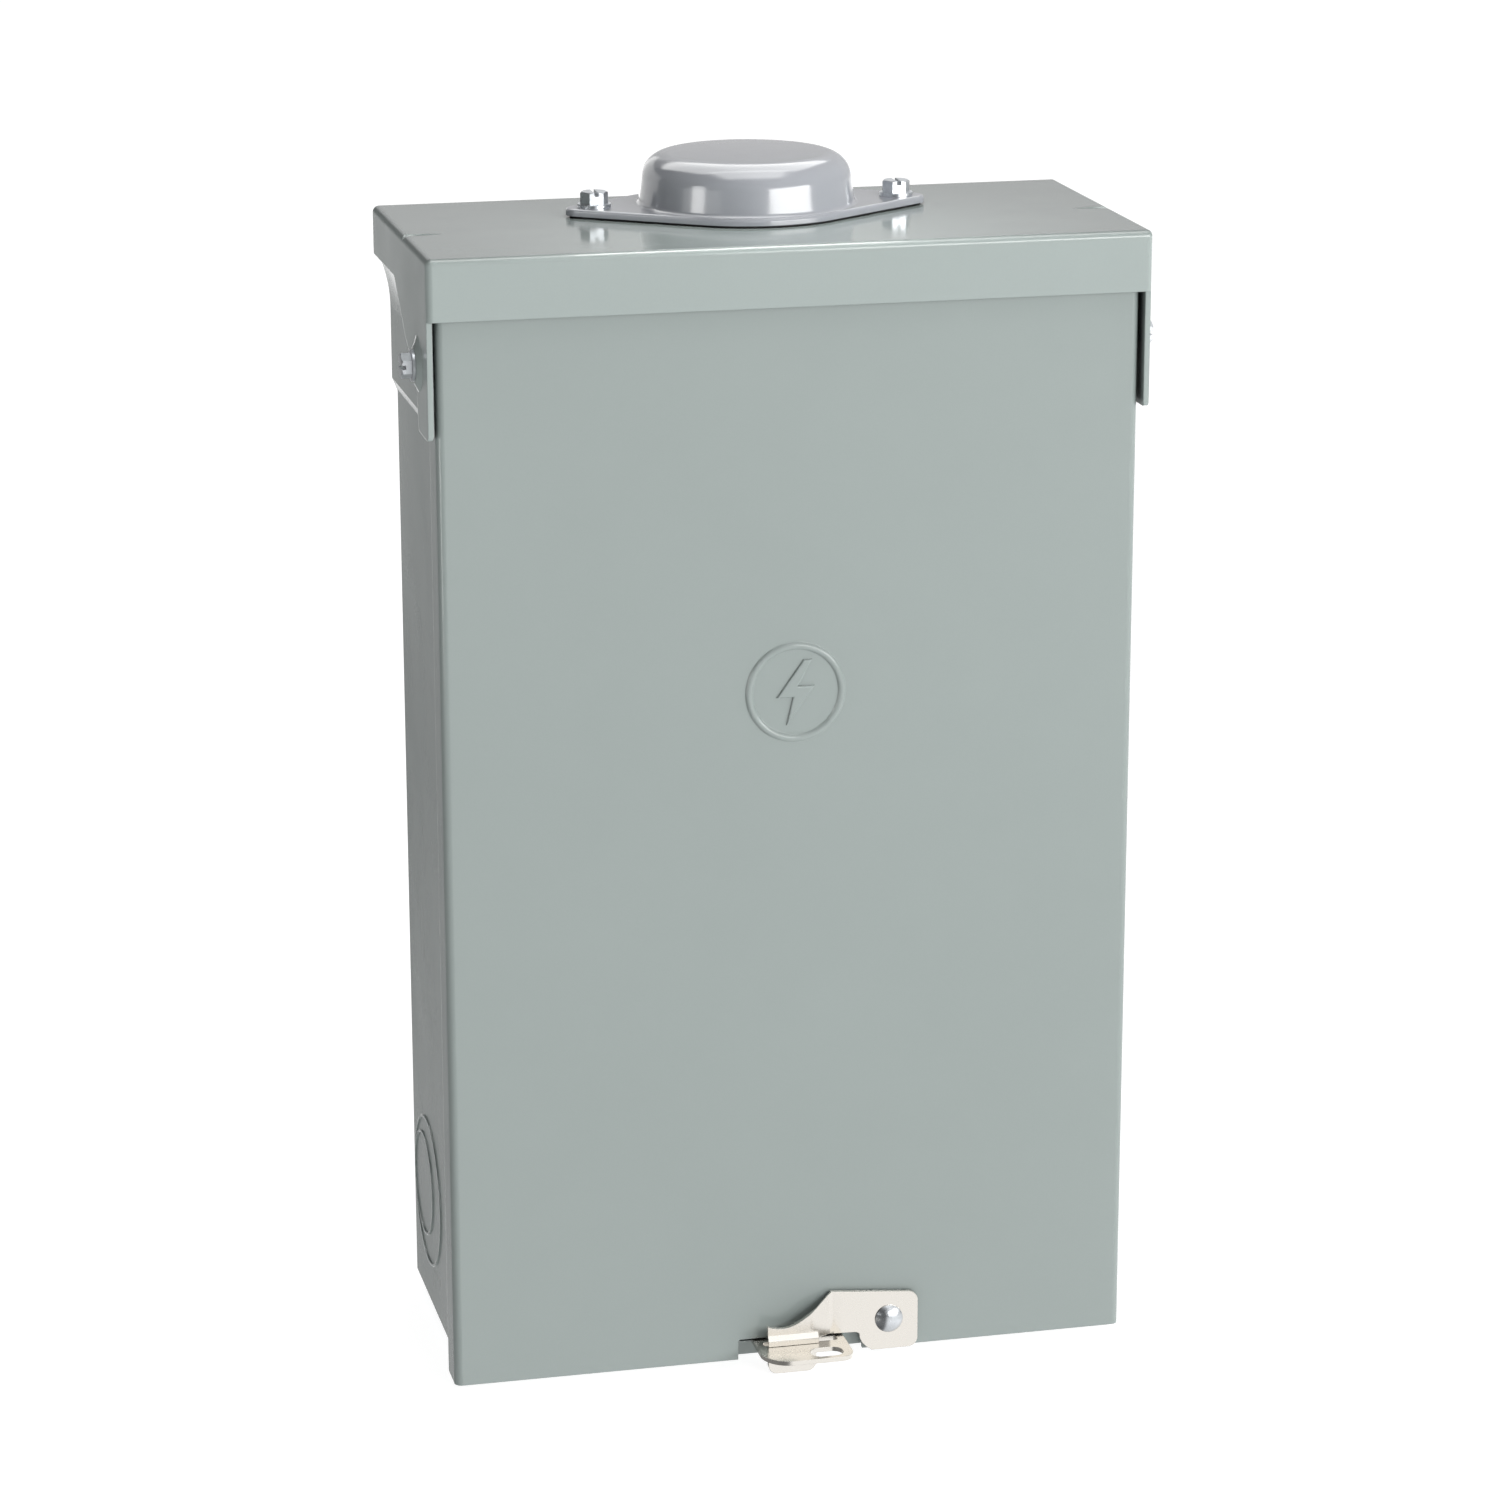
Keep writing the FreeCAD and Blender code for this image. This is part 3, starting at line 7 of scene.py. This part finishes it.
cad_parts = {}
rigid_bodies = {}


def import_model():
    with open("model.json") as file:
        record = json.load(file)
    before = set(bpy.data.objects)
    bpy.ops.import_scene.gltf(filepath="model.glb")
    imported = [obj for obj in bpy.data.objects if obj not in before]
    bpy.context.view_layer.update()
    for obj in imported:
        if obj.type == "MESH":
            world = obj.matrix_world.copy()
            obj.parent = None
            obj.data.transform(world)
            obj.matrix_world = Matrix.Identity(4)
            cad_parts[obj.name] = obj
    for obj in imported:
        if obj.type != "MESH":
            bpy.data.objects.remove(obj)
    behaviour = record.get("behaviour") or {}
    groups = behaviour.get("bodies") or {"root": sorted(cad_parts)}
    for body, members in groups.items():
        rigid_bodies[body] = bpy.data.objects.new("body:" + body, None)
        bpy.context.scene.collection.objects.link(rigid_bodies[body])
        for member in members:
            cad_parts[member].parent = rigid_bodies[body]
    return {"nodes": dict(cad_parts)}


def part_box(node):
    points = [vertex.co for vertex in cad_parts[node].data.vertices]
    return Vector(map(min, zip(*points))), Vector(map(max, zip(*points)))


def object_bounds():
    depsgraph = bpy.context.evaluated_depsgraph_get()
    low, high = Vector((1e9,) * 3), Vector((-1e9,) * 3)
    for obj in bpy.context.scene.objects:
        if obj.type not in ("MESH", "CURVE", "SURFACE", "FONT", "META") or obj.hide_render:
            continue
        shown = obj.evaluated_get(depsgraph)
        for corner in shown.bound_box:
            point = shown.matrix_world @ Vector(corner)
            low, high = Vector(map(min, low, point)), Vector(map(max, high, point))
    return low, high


for old in list(bpy.data.objects):
    bpy.data.objects.remove(old, do_unlink=True)

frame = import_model()
cad_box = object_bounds()
nodes = frame["nodes"]
scene = bpy.context.scene


# ------------------------------------------------------------------ camera
def make_camera():
    yaw, pitch, roll = math.radians(13.214), math.radians(-15.902), math.radians(-0.085)
    fwd = Vector((math.sin(yaw) * math.cos(pitch), math.cos(yaw) * math.cos(pitch), math.sin(pitch)))
    right = Vector((math.cos(yaw), -math.sin(yaw), 0.0))
    up = right.cross(fwd)
    r2 = right * math.cos(roll) + up * math.sin(roll)
    u2 = up * math.cos(roll) - right * math.sin(roll)
    cam = bpy.data.cameras.new("camera")
    cam.sensor_width = 36.0
    cam.lens = 36.0 * 4693.1 / 1500.0
    cam.clip_start, cam.clip_end = 0.02, 60.0
    cam.shift_x -= 0.0011
    o = bpy.data.objects.new("camera", cam)
    scene.collection.objects.link(o)
    m = Matrix((r2, u2, -fwd)).transposed().to_4x4()
    m.translation = Vector((-0.3426, -1.5027, 0.4335))
    o.matrix_world = m
    scene.camera = o


make_camera()

# ------------------------------------------------------------------ light
scene.view_settings.view_transform = "Standard"
scene.view_settings.look = "None"
scene.view_settings.exposure = 0.0
scene.view_settings.gamma = 1.0

world = bpy.data.worlds.new("studio")
scene.world = world
world.use_nodes = True
wn = world.node_tree
wn.nodes.clear()
def wnode(kind, **props):
    n = wn.nodes.new(kind)
    for k, v in props.items():
        setattr(n, k, v)
    return n


def wmath(op, a, b=0.0):
    n = wnode("ShaderNodeMath", operation=op)
    for sock, v in ((n.inputs[0], a), (n.inputs[1], b)):
        if isinstance(v, bpy.types.NodeSocket):
            wn.links.new(v, sock)
        else:
            sock.default_value = v
    return n.outputs[0]


def wramp(v, stops, lo=-1.0, hi=1.0):
    m = wnode("ShaderNodeMapRange")
    wn.links.new(v, m.inputs["Value"])
    m.inputs["From Min"].default_value, m.inputs["From Max"].default_value = lo, hi
    r = wnode("ShaderNodeValToRGB")
    wn.links.new(m.outputs["Result"], r.inputs["Fac"])
    el = r.color_ramp.elements
    while len(el) > 1:
        el.remove(el[-1])
    for k, (at, val) in enumerate(stops):
        q = el[0] if k == 0 else el.new(0.5)
        q.position = (at - lo) / (hi - lo)
        q.color = (val, val, val, 1)
    return r.outputs["Color"]


w_tc = wnode("ShaderNodeTexCoord")
w_sep = wnode("ShaderNodeSeparateXYZ")
wn.links.new(w_tc.outputs["Generated"], w_sep.inputs[0])
wx, wy, wz = w_sep.outputs
# the room, by height: floor bounce below, dim walls at eye level, lighter ceiling
room = wramp(wz, [(-1.0, 1.0), (-0.43, 1.40), (-0.27, 0.90), (-0.14, 1.45), (-0.03, 0.55), (0.05, 0.26), (0.15, 0.16), (0.42, 0.18), (0.60, 0.50), (1.0, 0.85)])
# lighter in front and behind, darker to the left
across = wramp(wx, [(-1.0, 0.22), (-0.30, 0.14), (-0.15, 0.18), (-0.04, 0.95), (0.1, 1.0), (1.0, 1.0)])
depth = wramp(wy, [(-1.0, 1.0), (0.0, 0.92), (0.6, 1.0), (1.0, 1.25)])
level = wmath("MULTIPLY", wmath("MULTIPLY", room, across), depth)
w_bg = wnode("ShaderNodeBackground")
wn.links.new(level, w_bg.inputs["Color"])
w_bg.inputs["Strength"].default_value = 1.0
w_white = wnode("ShaderNodeBackground")
w_white.inputs["Color"].default_value = (1, 1, 1, 1)
w_path = wnode("ShaderNodeLightPath")
w_mix = wnode("ShaderNodeMixShader")
w_out = wnode("ShaderNodeOutputWorld")
wn.links.new(w_path.outputs["Is Camera Ray"], w_mix.inputs["Fac"])
wn.links.new(w_bg.outputs[0], w_mix.inputs[1])
wn.links.new(w_white.outputs[0], w_mix.inputs[2])
wn.links.new(w_mix.outputs[0], w_out.inputs["Surface"])

CENTRE = Vector((0.0, -0.05, 0.0))


def softbox(name, azimuth, elevation, distance, wide, high, power, aim=(0.0, -0.05, 0.08), gloss_only=False):
    """azimuth 0 is straight in front (-Y), positive towards +X."""
    a, el = math.radians(azimuth), math.radians(elevation)
    aim = Vector(aim)
    pos = aim + Vector((math.sin(a) * math.cos(el), -math.cos(a) * math.cos(el), math.sin(el))) * distance
    light = bpy.data.lights.new(name, "AREA")
    light.shape = "RECTANGLE"
    light.size, light.size_y = wide, high
    light.energy = power
    light.color = (1.0, 0.995, 0.985)
    o = bpy.data.objects.new(name, light)
    scene.collection.objects.link(o)
    o.location = pos
    o.rotation_euler = (aim - pos).to_track_quat("-Z", "Y").to_euler()
    if gloss_only:
        o.visible_diffuse = False     # shapes the highlights on bends and bosses without lighting the flats
    return o


def only_on(lamps, name, labels):
    """Light these lamps on the named nodes only."""
    c = bpy.data.collections.new(name)
    for label in labels:
        c.objects.link(nodes[label])
    for lamp in lamps:
        lamp.light_linking.receiver_collection = c
    return c


PAINTED = ("cover", "case_wrapper", "bottom_endwall", "hub_closing_plate")
BRIGHT = ("latch", "fixed_hasp")
key = softbox("softbox_right", 36.0, 11.0, 1.7, 1.5, 0.45, 21.8)
softbox("softbox_left", -63.0, 7.0, 2.1, 1.7, 0.22, 1.6)
softbox("softbox_top", 0.0, 78.0, 2.0, 2.2, 1.5, 11.5, aim=(0.0, -0.15, 0.15))
softbox("softbox_back", 180.0, 35.0, 2.6, 2.4, 1.2, 2.0)
broad = only_on([key], "broad", [n for n in nodes if n not in BRIGHT])
# wide and low, so that the mirror-like latch and hasp keep their shading
only_on([softbox("softbox_latch", 24.0, 20.0, 1.8, 1.8, 1.5, 7.8)], "bright_steel", BRIGHT)
# seen only as highlights on the painted bends, bosses and the hub plate
only_on([softbox("highlight_ceiling", 180.0, 62.0, 2.3, 3.0, 2.2, 80.0, gloss_only=True),
         softbox("highlight_left", -66.0, 2.0, 2.1, 0.55, 1.3, 13.0, gloss_only=True)], "painted", PAINTED)
only_on([softbox("highlight_hub", -152.0, -4.0, 2.0, 2.2, 1.7, 14.0, gloss_only=True, aim=(0.0, -0.04, 0.2)),
         softbox("highlight_dome", 0.0, 78.0, 1.2, 1.1, 0.8, 8.5, gloss_only=True, aim=(0.0, -0.04, 0.2))], "hub", ("hub_closing_plate",))
only_on([softbox("fill_cap", 6.0, 84.0, 0.09, 0.11, 0.03, 0.13, aim=(0.0, -0.088, 0.18)),
         softbox("highlight_bend", 0.0, 84.0, 2.0, 2.8, 0.9, 34.0, gloss_only=True)], "cap", ("top_cap",))


# ------------------------------------------------------------------ floor
def make_floor():
    z = cad_box[0][2] - 0.0006
    me = bpy.data.meshes.new("floor")
    s = 14.0
    n = 8
    verts = [(-s + 2 * s * i / n, -s + 2 * s * j / n, z) for j in range(n + 1) for i in range(n + 1)]
    faces = [(j * (n + 1) + i, j * (n + 1) + i + 1, (j + 1) * (n + 1) + i + 1, (j + 1) * (n + 1) + i) for j in range(n) for i in range(n)]
    me.from_pydata(verts, [], faces)
    o = bpy.data.objects.new("floor", me)
    scene.collection.objects.link(o)
    mat = bpy.data.materials.new("floor_paper")
    mat.use_nodes = True
    t = mat.node_tree
    b = t.nodes["Principled BSDF"]
    b.inputs["Base Color"].default_value = (0.36, 0.36, 0.36, 1)
    b.inputs["Roughness"].default_value = 0.9
    b.inputs["Specular IOR Level"].default_value = 0.1
    b.inputs["Emission Color"].default_value = (1, 1, 1, 1)
    b.inputs["Emission Strength"].default_value = 0.88
    me.materials.append(mat)
    o.visible_glossy = False      # mirror-like finishes see the room shading below instead of the bare white sheet
    broad.objects.link(o)


make_floor()


# ------------------------------------------------------------------ material tools
def lin(r, g, b):
    def f(c):
        c /= 255.0
        return c / 12.92 if c <= 0.04045 else ((c + 0.055) / 1.055) ** 2.4
    return (f(r), f(g), f(b), 1.0)


def scaled(c, k):
    return (min(1.0, c[0] * k), min(1.0, c[1] * k), min(1.0, c[2] * k), 1.0)


class Graph:
    """A small helper over one material's node tree."""

    def __init__(self, mat):
        mat.use_nodes = True
        self.t = mat.node_tree
        self.t.nodes.clear()
        self.out = self.add("ShaderNodeOutputMaterial")
        self.bsdf = self.add("ShaderNodeBsdfPrincipled")
        self.link(self.bsdf.outputs["BSDF"], self.out.inputs["Surface"])
        tc = self.add("ShaderNodeTexCoord")
        self.pos = tc.outputs["Object"]

    def add(self, kind, **props):
        n = self.t.nodes.new(kind)
        for k, v in props.items():
            setattr(n, k, v)
        return n

    def link(self, a, b):
        self.t.links.new(a, b)

    def put(self, socket, v):
        if isinstance(v, bpy.types.NodeSocket):
            self.link(v, socket)
        else:
            socket.default_value = v

    def noise(self, scale, detail=2.0, rough=0.5, vec=None, distort=0.0):
        n = self.add("ShaderNodeTexNoise")
        self.link(vec or self.pos, n.inputs["Vector"])
        n.inputs["Scale"].default_value = scale
        n.inputs["Detail"].default_value = detail
        n.inputs["Roughness"].default_value = rough
        n.inputs["Distortion"].default_value = distort
        return n.outputs["Fac"]

    def stretch(self, sx, sy, sz, vec=None, rot=(0, 0, 0)):
        m = self.add("ShaderNodeMapping")
        self.link(vec or self.pos, m.inputs["Vector"])
        m.inputs["Scale"].default_value = (sx, sy, sz)
        m.inputs["Rotation"].default_value = rot
        return m.outputs["Vector"]

    def span(self, v, a, b, lo, hi, smooth=False):
        n = self.add("ShaderNodeMapRange", interpolation_type="SMOOTHSTEP" if smooth else "LINEAR")
        self.link(v, n.inputs["Value"])
        n.inputs["From Min"].default_value, n.inputs["From Max"].default_value = a, b
        n.inputs["To Min"].default_value, n.inputs["To Max"].default_value = lo, hi
        return n.outputs["Result"]

    def math(self, op, a, b=0.0, c=0.0, clamp=False):
        n = self.add("ShaderNodeMath", operation=op, use_clamp=clamp)
        self.put(n.inputs[0], a); self.put(n.inputs[1], b)
        if len(n.inputs) > 2:
            self.put(n.inputs[2], c)
        return n.outputs[0]

    def mix(self, fac, a, b, mode="MIX"):
        n = self.add("ShaderNodeMix", data_type="RGBA", blend_type=mode)
        self.put(n.inputs["Factor"], fac)
        self.put(n.inputs["A"], a) if False else self.put(n.inputs[6], a)
        self.put(n.inputs[7], b)
        return n.outputs[2]

    def xyz(self, vec=None):
        s = self.add("ShaderNodeSeparateXYZ")
        self.link(vec or self.pos, s.inputs[0])
        return s.outputs

    def bump(self, height, distance, strength=1.0, normal=None):
        n = self.add("ShaderNodeBump")
        self.link(height, n.inputs["Height"])
        n.inputs["Distance"].default_value = distance
        n.inputs["Strength"].default_value = strength
        if normal is not None:
            self.link(normal, n.inputs["Normal"])
        return n.outputs["Normal"]

    def edges(self, radius, samples=6, spread=0.12):
        """Rounded normal, and a mask that is 1 on outer corners and arrises."""
        bev = self.add("ShaderNodeBevel", samples=samples)
        bev.inputs["Radius"].default_value = radius
        geo = self.add("ShaderNodeNewGeometry")
        dot = self.add("ShaderNodeVectorMath", operation="DOT_PRODUCT")
        self.link(bev.outputs["Normal"], dot.inputs[0])
        self.link(geo.outputs["Normal"], dot.inputs[1])
        mask = self.span(dot.outputs["Value"], 1.0, 1.0 - spread, 0.0, 1.0)
        return bev.outputs["Normal"], mask

    def set(self, name, v):
        self.put(self.bsdf.inputs[name], v)


MATS = {}


def material(name, old="cad"):
    m = bpy.data.materials.new(name)
    MATS[name] = m
    return Graph(m)


# ------------------------------------------------------------------ materials
def paint(name, base, rough=0.2, peel=0.5, wave=1.0, edge_light=1.12, radius=0.0005, speck=0.02, tint=0.012, crevice_painted_shade=True, ior=1.5, front=1.0, top=1.0, side=1.0):
    """Baked polyester or enamel finish on sheet steel: orange peel, faint drift of tone, thin bright arrises (partly a
    painted highlight), painted shade in crevices, slight panel waves.
    """
    g = material(name)
    rounded, mask = g.edges(radius)
    drift = g.noise(7.0, 2.0)
    cloud = g.noise(46.0, 3.0)
    fine = g.noise(2600.0, 1.0)
    tone = g.math("ADD", g.span(drift, 0.3, 0.7, -tint, tint), g.span(cloud, 0.3, 0.7, -tint * 0.5, tint * 0.5))
    tone = g.math("ADD", tone, g.span(fine, 0.25, 0.75, -speck * 0.5, speck * 0.5))
    tone = g.math("ADD", tone, 1.0)
    body = g.mix(1.0, base, g.mix(0.0, (1, 1, 1, 1), (1, 1, 1, 1)), "MULTIPLY")
    mul = g.add("ShaderNodeVectorMath", operation="SCALE")
    g.link(body, mul.inputs[0])
    g.link(tone, mul.inputs["Scale"])
    # arrises read lighter, partly a thinner coat and partly a painted highlight; gaps, crevices and contact edges get
    # painted shade from ambient occlusion
    col = g.mix(g.math("MULTIPLY", mask, 0.55), mul.outputs[0], scaled(base, edge_light))
    if front != 1.0 or top != 1.0 or side != 1.0:
        # painted light and shade: one paint, scaled by which way a face looks (front, top, left), standing in for how
        # the light falls; not a second coat
        geo = g.add("ShaderNodeNewGeometry")
        nx, ny, nz = g.xyz(geo.outputs["True Normal"])
        k = g.math("MULTIPLY", g.span(ny, -0.9, -0.3, front, 1.0), g.span(nz, 0.3, 0.95, 1.0, top))
        k = g.math("MULTIPLY", k, g.span(nx, -0.95, -0.4, side, 1.0))
        lift = g.add("ShaderNodeVectorMath", operation="SCALE")
        g.link(col, lift.inputs[0])
        g.link(k, lift.inputs["Scale"])
        col = lift.outputs[0]
    # painted shade: ambient occlusion darkens the paint colour in gaps, crevices and under overhanging parts
    if crevice_painted_shade:
        ao = g.add("ShaderNodeAmbientOcclusion", samples=6)
        ao.inputs["Distance"].default_value = 0.006
        shade = g.add("ShaderNodeVectorMath", operation="SCALE")
        g.link(col, shade.inputs[0])
        g.link(g.span(ao.outputs["AO"], 0.06, 0.50, 0.16, 1.0), shade.inputs["Scale"])
        col = shade.outputs[0]
    g.set("Base Color", col)
    r = g.math("ADD", g.span(g.noise(60.0, 3.0), 0.3, 0.7, -0.025, 0.03), rough)
    r = g.math("ADD", r, g.span(fine, 0.3, 0.7, -0.015, 0.015))
    g.set("Roughness", r)
    g.set("IOR", ior)
    pan = g.bump(g.noise(5.5, 1.0), 0.0032 * wave, 0.35, rounded)
    pan2 = g.bump(g.noise(26.0, 1.0), 0.00030 * wave, 0.35, pan)
    pl = g.bump(g.noise(430.0, 2.0, 0.55), 0.00003, peel, pan2)
    pl = g.bump(g.noise(1500.0, 1.0), 0.000006, peel, pl)
    g.set("Normal", pl)
    return g


def metal(name, base, rough=0.25, grain=(1.0, 1.0, 1.0), grain_scale=900.0, bump=0.4, var=0.06, radius=0.00025, mottling=0.05, scratch=0.0):
    """Bare or plated metal: fine grain, patchy sheen, brighter worn arrises."""
    g = material(name)
    rounded, mask = g.edges(radius, spread=0.2)
    vec = g.stretch(*grain)
    fine = g.noise(grain_scale, 3.0, 0.6, vec)
    patch = g.noise(120.0, 3.0)
    tone = g.math("ADD", g.span(fine, 0.3, 0.7, -var, var), g.span(patch, 0.3, 0.7, -mottling, mottling))
    tone = g.math("ADD", tone, 1.0)
    mul = g.add("ShaderNodeVectorMath", operation="SCALE")
    mul.inputs[0].default_value = base[:3]
    g.link(tone, mul.inputs["Scale"])
    col = g.mix(g.math("MULTIPLY", mask, 0.5), mul.outputs[0], scaled(base, 1.15))
    g.set("Base Color", col)
    g.set("Metallic", 1.0)
    r = g.math("ADD", g.span(patch, 0.3, 0.7, -0.05, 0.06), rough)
    r = g.math("ADD", r, g.span(fine, 0.3, 0.7, -0.03, 0.03))
    g.set("Roughness", r)
    n = g.bump(fine, 0.00002, bump, rounded)
    if scratch:
        sc = g.noise(260.0, 2.0, 0.7, g.stretch(1.0, 1.0, 14.0, rot=(0.3, 0.5, 0.2)))
        n = g.bump(sc, 0.00002, scratch, n)
    g.set("Normal", n)
    return g


def plastic(name, base, rough=0.42, grain=1400.0, bump=0.5, var=0.05, radius=0.0003, edge_light=1.5):
    """Moulded plastic: spark-eroded grain, slightly shinier rubbed corners."""
    g = material(name)
    rounded, mask = g.edges(radius, spread=0.2)
    fine = g.noise(grain, 2.0)
    patch = g.noise(90.0, 3.0)
    tone = g.math("ADD", g.span(fine, 0.3, 0.7, -var, var), g.span(patch, 0.3, 0.7, -var, var))
    tone = g.math("ADD", tone, 1.0)
    mul = g.add("ShaderNodeVectorMath", operation="SCALE")
    mul.inputs[0].default_value = base[:3]
    g.link(tone, mul.inputs["Scale"])
    g.set("Base Color", g.mix(g.math("MULTIPLY", mask, 0.5), mul.outputs[0], scaled(base, edge_light)))
    r = g.math("ADD", g.span(patch, 0.3, 0.7, -0.05, 0.05), rough)
    g.set("Roughness", g.math("SUBTRACT", r, g.math("MULTIPLY", mask, 0.12)))
    n = g.bump(fine, 0.00003, bump, rounded)
    g.set("Normal", n)
    return g


PAINT = lin(139, 148, 146)
# painted shade: faces that look to the left (-X) are darker
paint("powder_coat", PAINT, rough=0.17, peel=0.4, side=0.84)
# painted light and shade: the cap's front faces lighter and its top darker
paint("cap_coat", PAINT, rough=0.13, peel=0.3, front=1.12, top=0.70)
paint("hub_coat", lin(157, 160, 166), rough=0.15, peel=0.3, wave=0.2, edge_light=1.2, radius=0.0004, ior=1.65)
metal("zinc_plate", lin(212, 216, 220), rough=0.31, grain_scale=700.0, bump=0.20, mottling=0.06)
metal("nickel_plate", lin(226, 222, 215), rough=0.25, grain=(1.0, 1.0, 1.0), grain_scale=1100.0, bump=0.16, var=0.02, mottling=0.03, scratch=0.10)
metal("tinned_bus", lin(205, 205, 206), rough=0.30, grain=(1.0, 1.0, 0.05), grain_scale=1600.0, bump=0.35)
metal("lug_alloy", lin(190, 191, 194), rough=0.34, grain=(0.08, 1.0, 1.0), grain_scale=1500.0, bump=0.6, var=0.08)
metal("copper_jaw", lin(214, 150, 110), rough=0.28, grain_scale=900.0)
metal("green_screw", lin(38, 110, 60), rough=0.32, grain_scale=700.0)
plastic("bus_plastic", lin(44, 44, 48), rough=0.48, bump=0.8)
plastic("breaker_plastic", lin(34, 34, 37), rough=0.40, bump=0.6)
plastic("handle_plastic", lin(28, 28, 31), rough=0.28, bump=0.3)
plastic("insulator", lin(226, 223, 212), rough=0.45, edge_light=1.03)
plastic("gasket_rubber", lin(26, 26, 27), rough=0.75, grain=700.0, bump=0.9, edge_light=1.2)


def galvanised():
    g = material("galvanised")
    rounded, mask = g.edges(0.0003, spread=0.2)
    v = g.add("ShaderNodeTexVoronoi", feature="F1")
    warp = g.add("ShaderNodeVectorMath", operation="ADD")
    wob = g.add("ShaderNodeTexNoise")
    g.link(g.pos, wob.inputs["Vector"]); wob.inputs["Scale"].default_value = 90.0
    sc = g.add("ShaderNodeVectorMath", operation="SCALE")
    g.link(wob.outputs["Color"], sc.inputs[0]); sc.inputs["Scale"].default_value = 0.006
    g.link(g.pos, warp.inputs[0]); g.link(sc.outputs[0], warp.inputs[1])
    g.link(warp.outputs[0], v.inputs["Vector"])
    v.inputs["Scale"].default_value = 120.0
    s = g.add("ShaderNodeSeparateColor")
    g.link(v.outputs["Color"], s.inputs[0])
    tone = g.span(s.outputs[0], 0.0, 1.0, 0.86, 1.08)
    fine = g.noise(1400.0, 2.0)
    tone = g.math("ADD", tone, g.span(fine, 0.3, 0.7, -0.03, 0.03))
    mul = g.add("ShaderNodeVectorMath", operation="SCALE")
    mul.inputs[0].default_value = lin(178, 182, 186)[:3]
    g.link(tone, mul.inputs["Scale"])
    g.set("Base Color", mul.outputs[0])
    g.set("Metallic", 1.0)
    g.set("Roughness", g.span(s.outputs[1], 0.0, 1.0, 0.30, 0.48))
    g.set("Normal", g.bump(fine, 0.00002, 0.5, rounded))


galvanised()


def card():
    """Uncoated card ruled as a two-column directory: lines only, no words."""
    g = material("card")
    lo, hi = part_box("directory_card")
    x, y, z = g.xyz()
    w, hgt = hi.x - lo.x, hi.z - lo.z
    u = g.span(x, lo.x, hi.x, 0.0, 1.0)
    v = g.span(z, lo.z, hi.z, 0.0, 1.0)

    def stripe(coord, at, half):
        d = g.math("ABSOLUTE", g.math("SUBTRACT", coord, at))
        return g.math("LESS_THAN", d, half)

    rows = g.math("FRACT", g.math("MULTIPLY", g.span(v, 0.10, 0.86, 0.0, 6.0), 1.0))
    line = g.math("LESS_THAN", g.math("ABSOLUTE", g.math("SUBTRACT", rows, 0.5)), 0.03)
    inside = g.math("MULTIPLY", g.math("GREATER_THAN", v, 0.08), g.math("LESS_THAN", v, 0.88))
    line = g.math("MULTIPLY", line, inside)
    for at in (0.06, 0.14, 0.5, 0.58, 0.94):
        line = g.math("MAXIMUM", line, g.math("MULTIPLY", stripe(u, at, 0.004), inside))
    for at in (0.08, 0.88):
        line = g.math("MAXIMUM", line, g.math("MULTIPLY", stripe(v, at, 0.008), g.math("MULTIPLY", g.math("GREATER_THAN", u, 0.06), g.math("LESS_THAN", u, 0.94))))
    fibre = g.noise(900.0, 4.0, 0.65)
    tone = g.math("ADD", g.span(fibre, 0.3, 0.7, -0.03, 0.03), 1.0)
    mul = g.add("ShaderNodeVectorMath", operation="SCALE")
    mul.inputs[0].default_value = lin(233, 232, 226)[:3]
    g.link(tone, mul.inputs["Scale"])
    g.set("Base Color", g.mix(g.math("MULTIPLY", line, 0.8), mul.outputs[0], lin(60, 62, 66)))
    g.set("Roughness", 0.8)
    g.set("Normal", g.bump(fibre, 0.00005, 0.5))


card()

for name, o in nodes.items():
    for s in o.material_slots:
        want = s.material.name.split(".")[0] if s.material else ""
        if want in MATS:
            s.material = MATS[want]
        else:
            for key in MATS:
                if want.startswith(key):
                    s.material = MATS[key]

# the top cap takes the copy of the paint with painted light and shade
for s in nodes["top_cap"].material_slots:
    s.material = MATS["cap_coat"]

for o in bpy.data.objects:
    if o.type == "MESH" and not o.material_slots:
        raise SystemExit("no material on " + o.name)
